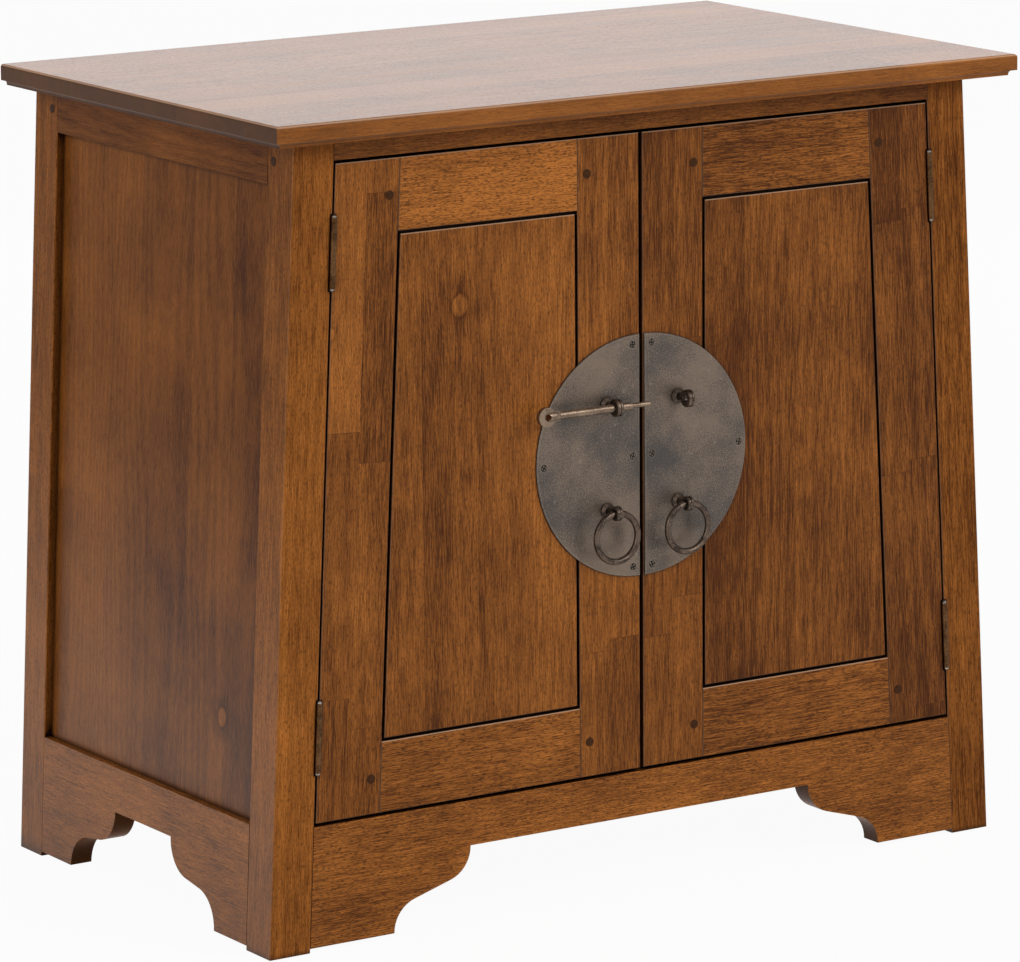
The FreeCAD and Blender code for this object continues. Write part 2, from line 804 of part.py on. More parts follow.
def make_plate_screws():
    """The countersunk screws that hold half of the lock plate."""
    body = new_body("left_plate_screws")
    places = [(-s.plate_screw_inset, s.lock_height + s.plate_screw_reach),
              (-s.plate_screw_inset, s.lock_height),
              (-s.plate_screw_inset, s.lock_height - s.plate_screw_reach),
              (-s.plate_screw_side_reach, s.lock_height)]
    add_tapered_heads(body, "XZ", plate_face, s.plate_thickness, places,
                      s.plate_screw_head_radius, s.plate_screw_shank_radius, False)
    add_prism(body, "XZ", front, front + s.plate_screw_length,
              lambda sketch: add_circles(sketch, places, s.plate_screw_shank_radius))
    return body


def add_cylinder(body, kind, radius, height, turn, **place):
    """A cylinder of the given kind, turned from upright and moved to a place."""
    cylinder = body.newObject(kind, f"{body.Name}_{kind.split('::')[1]}")
    cylinder.Placement = FreeCAD.Placement(FreeCAD.Vector(), turn)
    bind(cylinder, "Radius", radius)
    bind(cylinder, "Height", height)
    for axis, size in place.items():
        bind(cylinder, f"Placement.Base.{axis}", size)
    body.Tip = cylinder
    return cylinder


UPRIGHT = FreeCAD.Rotation()
ALONG_X = FreeCAD.Rotation(FreeCAD.Vector(0, 1, 0), 90)
ALONG_Y = FreeCAD.Rotation(FreeCAD.Vector(1, 0, 0), -90)


def make_eye(label, height, head_radius, hole_radius, nub_height=None):
    """A forged eye: a grooved head with a cross hole, a neck, a domed base and a bolted stem."""
    body = new_body(label)
    half_width = s.eye_head_width / 2
    add_cylinder(body, "PartDesign::AdditiveCylinder", head_radius, s.eye_head_width, ALONG_X,
                 x=-half_width, y=-s.eye_reach)
    dress(body, "PartDesign::Fillet", "Radius", s.eye_head_round,
          lambda edge: lies_at(edge, "x", half_width) or lies_at(edge, "x", -half_width))
    groove = body.newObject("PartDesign::SubtractiveTorus", f"{label}_groove")
    groove.Placement = FreeCAD.Placement(FreeCAD.Vector(), ALONG_X)
    bind(groove, "Radius1", head_radius)
    bind(groove, "Radius2", s.eye_groove_radius)
    bind(groove, "Placement.Base.y", -s.eye_reach)
    body.Tip = groove
    stem_end = s.plate_thickness + s.door_thickness + s.nut_height
    dome_foot = -s.eye_base_edge
    dome_top = dome_foot - s.eye_base_dome
    dome_reach = s.eye_base_radius - s.eye_base_dome
    profile = [
        (ZERO, stem_end), (s.eye_stem_radius, stem_end), (s.eye_stem_radius, ZERO),
        (s.eye_base_radius, ZERO), (s.eye_base_radius, dome_foot), (dome_reach, dome_top),
        (s.eye_neck_radius, dome_top), (s.eye_neck_radius, -s.eye_reach)]
    if nub_height is None:
        profile += [(ZERO, -s.eye_reach)]
    else:
        nub_end = -s.eye_reach - head_radius - nub_height
        profile += [(s.eye_nub_radius, -s.eye_reach), (s.eye_nub_radius, nub_end), (ZERO, nub_end)]
    sketch = new_sketch(body, "XY", ZERO)
    add_outline(sketch, profile)
    turned = body.newObject("PartDesign::Revolution", f"{label}_turned")
    turned.Profile = sketch
    turned.ReferenceAxis = (sketch, ["V_Axis"])
    turned.Angle = FULL_TURN
    body.Tip = turned
    add_cylinder(body, "PartDesign::SubtractiveCylinder", hole_radius, s.eye_head_width + 2 * s.overrun,
                 ALONG_X, x=-half_width - s.overrun, y=-s.eye_reach)
    bind(body, "Placement.Base.x", -s.eye_spread)
    bind(body, "Placement.Base.y", plate_face)
    bind(body, "Placement.Base.z", height)
    return body


def make_eye_nuts():
    """The hexagon nuts behind the door that hold both eyes."""
    body = new_body("left_eye_nuts")
    reach = s.nut_across_corners / 2

    def nut_faces(sketch):
        for height in (pin_eye_height, ring_eye_height):
            corners = []
            for corner in range(NUT_SIDES):
                angle = 2 * math.pi * corner / NUT_SIDES
                corners.append((reach * math.cos(angle) - s.eye_spread, reach * math.sin(angle) + height))
            add_outline(sketch, corners)
            add_circles(sketch, [(-s.eye_spread, height)], s.eye_stem_radius)
    add_prism(body, "XZ", door_back, door_back + s.nut_height, nut_faces)
    return body


def make_ring():
    """A ring pull that hangs in its eye."""
    ring = doc.addObject("Part::Torus", "left_ring")
    ring.Placement = FreeCAD.Placement(FreeCAD.Vector(), ALONG_Y)
    bind(ring, "Radius1", s.ring_radius)
    bind(ring, "Radius2", s.ring_wire_radius)
    bind(ring, "Placement.Base.x", -s.eye_spread)
    bind(ring, "Placement.Base.y", eye_line)
    bind(ring, "Placement.Base.z", ring_eye_height - s.ring_radius)
    return ring


def make_lock_pin():
    """The sliding pin, drawn back: a pierced teardrop head, a collar, a shaft and a thin tip."""
    body = new_body("lock_pin")
    tip_start = s.pin_length - s.pin_tip_length
    collar_end = s.pin_head_radius + s.pin_collar_length
    sketch = new_sketch(body, "XY", ZERO)
    add_outline(sketch, [
        (ZERO, ZERO), (ZERO, s.pin_collar_radius), (s.pin_head_radius, s.pin_collar_radius),
        (collar_end, s.pin_radius), (tip_start, s.pin_radius), (tip_start, s.pin_tip_radius),
        (s.pin_length - s.pin_tip_bevel, s.pin_tip_radius),
        (s.pin_length, s.pin_tip_radius - s.pin_tip_bevel), (s.pin_length, ZERO)])
    turned = body.newObject("PartDesign::Revolution", "lock_pin_turned")
    turned.Profile = sketch
    turned.ReferenceAxis = (sketch, ["H_Axis"])
    turned.Angle = FULL_TURN
    body.Tip = turned
    half, neck = s.pin_head_thickness / 2, s.pin_neck_width / 2
    add_slab(body, "XZ", -half, half, [(ZERO, -neck), (collar_end, -s.pin_radius),
                                       (collar_end, s.pin_radius), (ZERO, neck)])
    add_cylinder(body, "PartDesign::AdditiveCylinder", s.pin_head_radius, s.pin_head_thickness,
                 ALONG_Y, y=-half)
    add_cylinder(body, "PartDesign::SubtractiveCylinder", s.pin_head_hole_radius,
                 s.pin_head_thickness + 2 * s.overrun, ALONG_Y, y=-half - s.overrun)
    bind(body, "Placement.Base.x", -s.pin_head_offset)
    bind(body, "Placement.Base.y", eye_line)
    bind(body, "Placement.Base.z", pin_eye_height)
    return body


# Butt hinges, drawn about an upright pin line and then leant with the left side
half_gap = s.door_side_gap / 2 * lean_cosine
hinge_starts = [(sill + s.hinge_inset) / lean_cosine - s.hinge_length / 2,
                (head - s.hinge_inset) / lean_cosine - s.hinge_length / 2]
knuckle_length = s.hinge_length / KNUCKLES
leaf_screw_line = (s.barrel_radius + s.leaf_width) / 2


def stand_on_hinge_line(body):
    """Puts a body's upright axis on the left hinges' pin line."""
    stand_on_side(body, s.post_width + s.door_side_gap / 2, front - s.hinge_proud)


def make_leaves(label, on_door):
    """Two hinge leaves with the knuckles of one side, bored for the pin."""
    body = new_body(label)
    outer = half_gap + s.leaf_thickness
    near, far = (half_gap, outer) if on_door else (-outer, -half_gap)
    plates = [rectangle(ZERO, s.leaf_width, start, start + s.hinge_length) for start in hinge_starts]
    add_slab(body, "YZ", near, far, *plates)
    for start in hinge_starts:
        add_cylinder(body, "PartDesign::AdditiveCylinder", s.barrel_radius, s.hinge_length, UPRIGHT,
                     z=start)
    gaps = []
    sweep = s.barrel_radius + s.barrel_relief
    for start in hinge_starts:
        for knuckle in range(KNUCKLES):
            if (knuckle % 2 == 0) == on_door:
                low = start + knuckle * knuckle_length - s.knuckle_gap / 2
                gaps.append(rectangle(-sweep, sweep, low, low + knuckle_length + s.knuckle_gap))
    cut_slab(body, "YZ", -sweep - s.leaf_thickness, sweep + s.leaf_thickness, *gaps)
    bore = s.hinge_pin_radius + s.hinge_pin_clearance if on_door else s.hinge_pin_radius
    add_cylinder(body, "PartDesign::SubtractiveCylinder", bore, underside, UPRIGHT)
    stand_on_hinge_line(body)
    return body


def make_leaf_screws(label, on_door):
    """The countersunk screws that hold the leaves of one side."""
    body = new_body(label)
    places = []
    for start in hinge_starts:
        for number in range(HINGE_SCREWS):
            offset = (number - (HINGE_SCREWS - 1) / 2) * s.leaf_screw_pitch
            places.append((leaf_screw_line, start + s.hinge_length / 2 + offset))
    face = half_gap if on_door else -half_gap
    add_tapered_heads(body, "YZ", face, s.leaf_thickness, places,
                      s.leaf_screw_head_radius, s.leaf_screw_shank_radius, on_door)
    low, high = s.leaf_thickness + half_gap, half_gap + s.leaf_screw_length
    add_prism(body, "YZ", low if on_door else -high, high if on_door else -low,
              lambda sketch: add_circles(sketch, places, s.leaf_screw_shank_radius))
    stand_on_hinge_line(body)
    return body


def make_hinge_pins():
    """The hinge pins, each with a bevelled tip above and below the barrel."""
    body = new_body("hinge_pins_left")
    sketch = new_sketch(body, "XZ", ZERO)
    tip, shaft = s.hinge_tip_radius, s.hinge_pin_radius
    for low in hinge_starts:
        high = low + s.hinge_length
        add_outline(sketch, [
            (ZERO, low - s.hinge_tip_length), (tip / 2, low - s.hinge_tip_length),
            (tip, low - s.hinge_tip_length / 2), (tip, low), (shaft, low), (shaft, high), (tip, high),
            (tip, high + s.hinge_tip_length / 2), (tip / 2, high + s.hinge_tip_length),
            (ZERO, high + s.hinge_tip_length)])
    turned = body.newObject("PartDesign::Revolution", "hinge_pins_turned")
    turned.Profile = sketch
    turned.ReferenceAxis = (sketch, ["V_Axis"])
    turned.Angle = FULL_TURN
    body.Tip = turned
    stand_on_hinge_line(body)
    return body


def make_barrel_recess():
    """The round recess in post and stile that leaves room for each barrel and its tips."""
    body = new_body("barrel_recess")
    margin = s.hinge_tip_length + s.barrel_relief
    for start in hinge_starts:
        add_cylinder(body, "PartDesign::AdditiveCylinder", s.barrel_radius + s.barrel_relief,
                     s.hinge_length + 2 * margin, UPRIGHT, z=start - margin)
    stand_on_hinge_line(body)
    return body


# Assembly: hardware first, then the timber that is cut to take it
frame_screws = make_leaf_screws("frame_leaf_screws_left", False)
door_screws = make_leaf_screws("left_leaf_screws", True)
frame_leaves = cut_out("left_frame_leaves", make_leaves("frame_leaf_blanks", False), frame_screws)
door_leaves = cut_out("left_door_leaves", make_leaves("door_leaf_blanks", True), door_screws)
barrel_recess = make_barrel_recess()
hinge_pins = make_hinge_pins()
plate_screws = make_plate_screws()
pin_eye = make_eye("left_pin_eye", pin_eye_height, s.pin_eye_head_radius, s.pin_radius + s.pin_clearance)
ring_eye = make_eye("left_ring_eye", ring_eye_height, s.ring_eye_head_radius,
                    s.ring_wire_radius + s.ring_clearance, s.eye_nub_height)
door_pegs = make_door_pegs()
side_pegs = make_side_pegs()

make_top_board()
front_post = cut_out("front_left_post", make_front_post(),
                     side_pegs, frame_leaves, barrel_recess, frame_screws)
back_post = cut_out("back_left_post", make_back_post(), side_pegs)
for end, post in (("front", front_post), ("back", back_post)):
    keep(post)
    keep(mirrored(f"{end}_right_post", post))
keep(make_cross_rail("front_top_rail", head, underside, front_rail_tenon, *front_span, False))
keep(make_front_apron())
keep(make_cross_rail("back_top_rail", rail_bottom, underside, side_rail_tenon, *back_span, True))
keep(make_cross_rail("back_bottom_rail", s.arch_crown, sill, back_bottom_tenon, *back_span, True))
keep_pair("top_rail", cut_out("left_top_rail", make_side_top_rail(), side_pegs))
keep_pair("apron", make_side_apron())
keep_pair("panel", make_side_panel())
keep(make_back_panel())
panel_back = s.side_panel_recess + s.side_panel_thickness
keep(make_notched_board("floor_board", sill, s.floor_thickness, s.rail_thickness,
                        front_span[1], back_span[0]))
keep(make_notched_board("shelf", s.shelf_top, s.shelf_thickness, panel_back,
                        front_span[1] + s.shelf_setback, back_panel_span()[0] - s.board_clearance))
keep(make_cleats("top_cleats", underside, s.rail_thickness))
keep(make_cleats("shelf_cleats", s.shelf_top - s.shelf_thickness, panel_back))
keep(make_cleats("floor_cleats", sill - s.floor_thickness, s.rail_thickness))
keep(make_door_stop())
keep(grouped("side_pegs", side_pegs, mirrored("side_pegs_right", side_pegs)))
keep_pair("frame_leaves", frame_leaves)
keep(grouped("frame_leaf_screws", frame_screws, mirrored("frame_leaf_screws_right", frame_screws)))
keep(grouped("hinge_pins", hinge_pins, mirrored("hinge_pins_right", hinge_pins)))

bottom_tenon, top_tenon = door_rail_tenons()
keep_pair("hinge_stile", cut_out("left_hinge_stile", make_hinge_stile(),
                                 door_pegs, door_leaves, barrel_recess, door_screws))
keep_pair("lock_stile", cut_out("left_lock_stile", make_lock_stile(),
                                door_pegs, plate_screws, pin_eye, ring_eye))
top_rail = make_door_rail("door_top_rail_blank", panel_top, door_top, top_tenon)
bottom_rail = make_door_rail("door_bottom_rail_blank", door_bottom, panel_bottom, bottom_tenon)
keep_pair("door_top_rail", cut_out("left_door_top_rail", top_rail, door_pegs))
keep_pair("door_bottom_rail", cut_out("left_door_bottom_rail", bottom_rail, door_pegs))
keep_pair("door_panel", cut_out("left_door_panel", make_door_panel(), plate_screws))
keep_pair("door_pegs", door_pegs)
keep_pair("lock_plate", cut_out("left_lock_plate", make_lock_plate(), plate_screws, pin_eye, ring_eye))
keep_pair("plate_screws", plate_screws)
keep_pair("pin_eye", pin_eye)
keep_pair("ring_eye", ring_eye)
keep_pair("eye_nuts", make_eye_nuts())
keep_pair("door_leaves", door_leaves)
keep_pair("leaf_screws", door_screws)
keep_pair("ring", make_ring())
keep(make_lock_pin())

# Every feature has to be sound before a solid is written
doc.recompute()
for thing in doc.Objects:
    if "Invalid" in thing.State or "Error" in thing.State:
        raise RuntimeError(f"{thing.Label} failed: {thing.State}")
for piece in nodes:
    if piece.Shape.isNull() or not piece.Shape.isValid() or not piece.Shape.Solids:
        raise RuntimeError(f"{piece.Label} has no sound shape")
os.makedirs("parts", exist_ok=True)
for piece in nodes:
    piece.Shape.exportStep(f"parts/{piece.Label}.step")
print(f"{len(nodes)} nodes, {sum(len(piece.Shape.Solids) for piece in nodes)} solids")
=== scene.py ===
# %% [markdown]
# A low cabinet with leaning sides, dressed for rendering. The joinery, the doors and the iron lock
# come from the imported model, which is in metres with Z up and the front facing -Y. That model is a
# fixed frame: nothing in it is moved or reshaped. What this lesson adds is the stained timber with
# its glued-up staves, the patinated metals, a few small fittings with more detail than the frame
# has, and the studio.

# %% Load the frame
import math

import bmesh
import bpy
from mathutils import Matrix, Vector


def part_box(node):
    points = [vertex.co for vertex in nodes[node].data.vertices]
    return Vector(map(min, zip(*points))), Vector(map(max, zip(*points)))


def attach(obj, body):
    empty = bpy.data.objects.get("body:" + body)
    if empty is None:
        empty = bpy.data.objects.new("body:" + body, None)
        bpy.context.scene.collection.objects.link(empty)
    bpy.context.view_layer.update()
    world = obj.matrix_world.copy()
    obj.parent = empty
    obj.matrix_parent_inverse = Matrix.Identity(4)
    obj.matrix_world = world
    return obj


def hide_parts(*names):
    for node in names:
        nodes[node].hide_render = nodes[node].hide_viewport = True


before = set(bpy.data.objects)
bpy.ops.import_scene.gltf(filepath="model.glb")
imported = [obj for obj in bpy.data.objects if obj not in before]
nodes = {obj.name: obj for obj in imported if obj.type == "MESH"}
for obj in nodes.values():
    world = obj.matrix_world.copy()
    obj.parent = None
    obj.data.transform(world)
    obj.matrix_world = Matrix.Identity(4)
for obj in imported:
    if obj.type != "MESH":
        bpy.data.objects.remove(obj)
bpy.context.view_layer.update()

# %% [markdown]
# The camera stands to the left of the front, a little above the top, with a long lens. Its place was
# worked out once from the corners of the cabinet. A camera can be aimed with a Track To constraint,
# but here its three axes are known, so they are written straight into its matrix.

# %% Set up the camera
IMAGE_WIDTH = 1020
SENSOR_WIDTH = 36.0
FOCAL_PIXELS = 5804.26
CAMERA_PLACE = Vector((-2.9091, -4.4895, 1.4688))
CAMERA_YAW = math.radians(32.913)
CAMERA_PITCH = math.radians(-11.812)
CAMERA_ROLL = math.radians(-0.4425)

forward = Vector((math.sin(CAMERA_YAW) * math.cos(CAMERA_PITCH),
                  math.cos(CAMERA_YAW) * math.cos(CAMERA_PITCH),
                  math.sin(CAMERA_PITCH)))
level_right = Vector((math.cos(CAMERA_YAW), -math.sin(CAMERA_YAW), 0.0))
level_up = level_right.cross(forward)
right = math.cos(CAMERA_ROLL) * level_right + math.sin(CAMERA_ROLL) * level_up
up = math.cos(CAMERA_ROLL) * level_up - math.sin(CAMERA_ROLL) * level_right

camera = bpy.data.objects.new("camera", bpy.data.cameras.new("camera"))
bpy.context.scene.collection.objects.link(camera)
axes = Matrix((right, up, -forward)).transposed()
camera.matrix_world = Matrix.Translation(CAMERA_PLACE) @ axes.to_4x4()
camera.data.sensor_width = SENSOR_WIDTH
camera.data.lens = FOCAL_PIXELS * SENSOR_WIDTH / IMAGE_WIDTH
bpy.context.scene.camera = camera
bpy.context.scene.view_settings.view_transform = "Standard"
print("camera at", CAMERA_PLACE[:], "with a", round(camera.data.lens), "mm lens")

# %% [markdown]
# Every finish below is a tree of shader nodes. Small helpers keep the trees short: they put a node
# down, set or link a socket, do arithmetic, mix colours and start a group.

# %% Helpers for shader nodes
def put(tree, kind, **settings):
    """Adds a node of this kind to the tree."""
    node = tree.nodes.new(kind)
    for name, value in settings.items():
        setattr(node, name, value)
    return node


def feed(tree, socket, source):
    """Links a socket to another node's output, or sets it to a plain value."""
    if isinstance(source, bpy.types.NodeSocket):
        tree.links.new(source, socket)
    else:
        socket.default_value = source


def calc(tree, operation, *terms):
    """The result of a Math node."""
    node = put(tree, "ShaderNodeMath", operation=operation)
    for socket, term in zip(node.inputs, terms):
        feed(tree, socket, term)
    return node.outputs["Value"]


def calc_vector(tree, operation, *terms):
    """The result of a Vector Math node."""
    node = put(tree, "ShaderNodeVectorMath", operation=operation)
    for socket, term in zip(node.inputs, terms):
        feed(tree, socket, term)
    return node.outputs["Vector"]


def mix_color(tree, share, first, second):
    """Goes from the first colour to the second as share goes from 0 to 1."""
    node = put(tree, "ShaderNodeMix", data_type="RGBA")
    sockets = [socket for socket in node.inputs if socket.type == "RGBA"]
    feed(tree, node.inputs["Factor"], share)
    feed(tree, sockets[0], first)
    feed(tree, sockets[1], second)
    return next(socket for socket in node.outputs if socket.type == "RGBA")


def ramp(tree, value, low, high, to_low=0.0, to_high=1.0):
    """Value between low and high, moved to the range from to_low to to_high and smoothed."""
    node = put(tree, "ShaderNodeMapRange", interpolation_type="SMOOTHSTEP")
    for label, term in (("Value", value), ("From Min", low), ("From Max", high),
                        ("To Min", to_low), ("To Max", to_high)):
        feed(tree, node.inputs[label], term)
    return node.outputs["Result"]


def noise(tree, point, scale=1.0, detail=2.0, roughness=0.5):
    """Soft noise from 0 to 1 at a point."""
    node = put(tree, "ShaderNodeTexNoise")
    feed(tree, node.inputs["Vector"], point)
    feed(tree, node.inputs["Scale"], scale)
    feed(tree, node.inputs["Detail"], detail)
    feed(tree, node.inputs["Roughness"], roughness)
    return node.outputs["Fac"]


def new_group(name, given, made):
    """An empty node group with these inputs and outputs, and the sockets inside it."""
    group = bpy.data.node_groups.new(name, "ShaderNodeTree")
    for label, kind in given.items():
        group.interface.new_socket(name=label, in_out="INPUT", socket_type=kind)
    for label, kind in made.items():
        group.interface.new_socket(name=label, in_out="OUTPUT", socket_type=kind)
    return group, put(group, "NodeGroupInput").outputs, put(group, "NodeGroupOutput").inputs


NUMBER = "NodeSocketFloat"
COLOR = "NodeSocketColor"
VECTOR = "NodeSocketVector"

# %% [markdown]
# The timber is glued up from staves, so a stile or a panel is a patchwork: each stave has its own tone
# and its own run of grain, and butts against the next with a hairline joint. An image of a plank
# could not follow the size of each piece, so the staves are worked out from coordinates. The group
# takes a point whose X runs along the grain, Y into the piece and Z across its width. It finds which
# stave the point is in, gives that stave a random tone and a random jump to another part of the log,
# and lays streaks, growth rings, fibres and pores over it. A knot is a paler disc with a dark rim in a
# darker patch. A Voronoi texture could scatter knots, but only a few show on this cabinet, so the group
# measures the distance to one placed point instead. Faces cut across the grain drink more stain, and
# the group darkens them by how far their normal runs along the grain.

# %% Node group for stained timber
GRAIN_BAND = (0.9, 21.0, 21.0)
GRAIN_STREAK = (2.8, 105.0, 105.0)
GRAIN_FIBRE = (45.0, 1250.0, 1250.0)
GRAIN_PORE = (240.0, 1300.0, 1300.0)
GRAIN_WARP = (1.6, 9.0, 9.0)
RING_SPACING = 0.008
RING_WARP = 0.075
LOG_JUMP = (19.0, 19.0, 19.0)
JOINT_HALF_WIDTH = 0.0007
ROW_STEP = 7.31
KNOT_SHAPE = (0.8, 0.0, 1.0)
KNOT_WOBBLE = 0.5
KNOT_WOBBLE_SCALE = 110.0
KNOT_CORE = 0.7
KNOT_RIM = 0.3
KNOT_REACH = 3.2
KNOT_CORE_SHADE = 0.32
KNOT_RIM_SHADE = -0.10
KNOT_HALO_SHADE = -0.14
PORE_COLOR = (0.032, 0.010, 0.003, 1.0)
END_COLOR = (0.022, 0.0075, 0.0025, 1.0)
END_STRENGTH = 0.75
END_FACING = (0.55, 0.95)
BLOTCH_SCALE = 8.0
BAND_STRENGTH = 0.42
STREAK_STRENGTH = 0.34
BLOTCH_STRENGTH = 0.75
FIBRE_STRENGTH = 2.0
PORE_STRENGTH = 0.6
PORE_RANGE = (0.50, 0.66)
RING_STRENGTH = 0.05
SEAM_SHARE = 0.5
JOINT_STRENGTH = 0.35
MIDDLE_SHADE = 0.30
LEAST_ROUGHNESS = 0.27
STREAK_ROUGHNESS = 0.14
PORE_ROUGHNESS = 0.12
FIBRE_HEIGHT = 0.35

timber, given, made = new_group(
    "stained_timber",
    {"Vector": VECTOR, "Normal": VECTOR, "Stave Width": NUMBER, "Stave Length": NUMBER,
     "Seed": NUMBER, "Spread": NUMBER, "Lift": NUMBER, "Pores": NUMBER, "Knot": VECTOR,
     "Knot Radius": NUMBER, "Dark": COLOR, "Light": COLOR},
    {"Color": COLOR, "Roughness": NUMBER, "Height": NUMBER})

parts = put(timber, "ShaderNodeSeparateXYZ")
feed(timber, parts.inputs["Vector"], given["Vector"])
along, across = parts.outputs["X"], parts.outputs["Z"]
row_place = calc(timber, "DIVIDE", across, given["Stave Width"])
row = calc(timber, "FLOOR", row_place)
row_noise = put(timber, "ShaderNodeTexWhiteNoise", noise_dimensions="1D")
feed(timber, row_noise.inputs["W"], calc(timber, "MULTIPLY_ADD", row, ROW_STEP, given["Seed"]))
end_place = calc(timber, "MULTIPLY_ADD", row_noise.outputs["Value"], ROW_STEP,
                 calc(timber, "DIVIDE", along, given["Stave Length"]))
stave = put(timber, "ShaderNodeCombineXYZ")
feed(timber, stave.inputs["X"], row)
feed(timber, stave.inputs["Y"], calc(timber, "FLOOR", end_place))
feed(timber, stave.inputs["Z"], given["Seed"])
stave_noise = put(timber, "ShaderNodeTexWhiteNoise", noise_dimensions="3D")
feed(timber, stave_noise.inputs["Vector"], stave.outputs["Vector"])
tone = stave_noise.outputs["Value"]
log_point = calc_vector(timber, "MULTIPLY_ADD", stave_noise.outputs["Color"], LOG_JUMP, given["Vector"])


def grain(stretch, detail, roughness):
    """Noise that is drawn out along the grain of the log."""
    return noise(timber, calc_vector(timber, "MULTIPLY", log_point, stretch), 1.0, detail, roughness)


def joint_line(place, length):
    """Dark hairline where the whole number of staves is reached."""
    from_end = calc(timber, "PINGPONG", place, 0.5)
    distance = calc(timber, "MULTIPLY", from_end, length)
    return ramp(timber, distance, 0.0, JOINT_HALF_WIDTH, 1.0, 0.0)


def add_shade(shade, pattern, strength):
    """Lightens and darkens a shade by a pattern whose middle value is a half."""
    return calc(timber, "MULTIPLY_ADD", calc(timber, "SUBTRACT", pattern, 0.5), strength, shade)


band = grain(GRAIN_BAND, detail=2.0, roughness=0.5)
streak = grain(GRAIN_STREAK, detail=4.0, roughness=0.6)
fibre = grain(GRAIN_FIBRE, detail=3.0, roughness=0.6)
pore = ramp(timber, grain(GRAIN_PORE, detail=1.0, roughness=0.5), *PORE_RANGE)
blotch = noise(timber, given["Vector"], BLOTCH_SCALE, detail=3.0, roughness=0.55)
warp = grain(GRAIN_WARP, detail=2.0, roughness=0.5)
ring_place = calc(timber, "MULTIPLY_ADD", warp, RING_WARP, calc(timber, "MULTIPLY", across, tone))
ring = calc(timber, "SINE", calc(timber, "MULTIPLY", ring_place, math.tau / RING_SPACING))

from_middle = put(timber, "ShaderNodeVectorMath", operation="LENGTH")
to_knot = calc_vector(timber, "SUBTRACT", given["Vector"], given["Knot"])
feed(timber, from_middle.inputs["Vector"], calc_vector(timber, "MULTIPLY", to_knot, KNOT_SHAPE))
wobble = calc(timber, "MULTIPLY_ADD", noise(timber, given["Vector"], KNOT_WOBBLE_SCALE),
              KNOT_WOBBLE, 1.0 - KNOT_WOBBLE / 2)
from_knot = calc(timber, "MULTIPLY", wobble,
                 calc(timber, "DIVIDE", from_middle.outputs["Value"], given["Knot Radius"]))
from_rim = calc(timber, "ABSOLUTE", calc(timber, "SUBTRACT", from_knot, 1.0))
knot_rim = ramp(timber, from_rim, 0.0, KNOT_RIM, 1.0, 0.0)
knot_halo = ramp(timber, from_knot, 1.0, KNOT_REACH, 1.0, 0.0)
knot_core = ramp(timber, from_knot, 1.0, KNOT_CORE)

shade = calc(timber, "MULTIPLY_ADD", calc(timber, "SUBTRACT", tone, 0.5), given["Spread"], given["Lift"])
for mark, strength in ((knot_rim, KNOT_RIM_SHADE), (knot_halo, KNOT_HALO_SHADE),
                       (knot_core, KNOT_CORE_SHADE)):
    shade = calc(timber, "MULTIPLY_ADD", mark, strength, shade)
for pattern, strength in ((band, BAND_STRENGTH), (streak, STREAK_STRENGTH), (blotch, BLOTCH_STRENGTH)):
    shade = add_shade(shade, pattern, strength)
shade = add_shade(shade, fibre, calc(timber, "MULTIPLY", given["Pores"], FIBRE_STRENGTH))
shade = calc(timber, "MULTIPLY_ADD", ring, RING_STRENGTH, shade)
clamped = put(timber, "ShaderNodeClamp")
feed(timber, clamped.inputs["Value"], calc(timber, "ADD", shade, MIDDLE_SHADE))
wood_color = mix_color(timber, clamped.outputs["Result"], given["Dark"], given["Light"])
pored_share = calc(timber, "MULTIPLY", pore, given["Pores"])
pored = mix_color(timber, calc(timber, "MULTIPLY", pored_share, PORE_STRENGTH), wood_color, PORE_COLOR)
joints = calc(timber, "MAXIMUM", joint_line(end_place, given["Stave Length"]),
              calc(timber, "MULTIPLY", joint_line(row_place, given["Stave Width"]), SEAM_SHARE))
jointed = mix_color(timber, calc(timber, "MULTIPLY", joints, JOINT_STRENGTH), pored, PORE_COLOR)
facing = put(timber, "ShaderNodeSeparateXYZ")
feed(timber, facing.inputs["Vector"], calc_vector(timber, "ABSOLUTE", given["Normal"]))
end_grain = ramp(timber, facing.outputs["X"], *END_FACING, 0.0, END_STRENGTH)
feed(timber, made["Color"], mix_color(timber, end_grain, jointed, END_COLOR))
streaked = calc(timber, "MULTIPLY_ADD", streak, STREAK_ROUGHNESS, LEAST_ROUGHNESS)
feed(timber, made["Roughness"], calc(timber, "MULTIPLY_ADD", pore, PORE_ROUGHNESS, streaked))
feed(timber, made["Height"], calc(timber, "SUBTRACT", calc(timber, "MULTIPLY", fibre, FIBRE_HEIGHT), pore))
print("group", timber.name, "has", len(timber.nodes), "nodes")

# %% [markdown]
# Three more effects are shared. On the iron, sharp edges are rubbed bright: the Bevel node gives the
# normal that a rounded edge would have, so the mask is where that normal leaves the true one. On the
# timber, corners, grooves and gaps get painted shade: the colour goes nearly black where the Ambient
# Occlusion node finds a point shut in. Along the eased edges of posts, doors and top a painted
# highlight lightens the colour, most of all where they look up. Those edges are narrow faces that lean
# to two sides at once, so no part of their normal is near 1. That normal is first turned into the
# piece's own coordinates, so the painted highlight stays put when a door swings.

# %% Node groups for edges and corners
MASK_SAMPLES = 4
CORNER_SHADE_OPENNESS = (0.88, 0.52)
ARRIS_LEAN = (0.93, 0.80)
ARRIS_LOOKS_UP = (0.2, 0.6)
ARRIS_LOOKS_DOWN_SHARE = 0.2

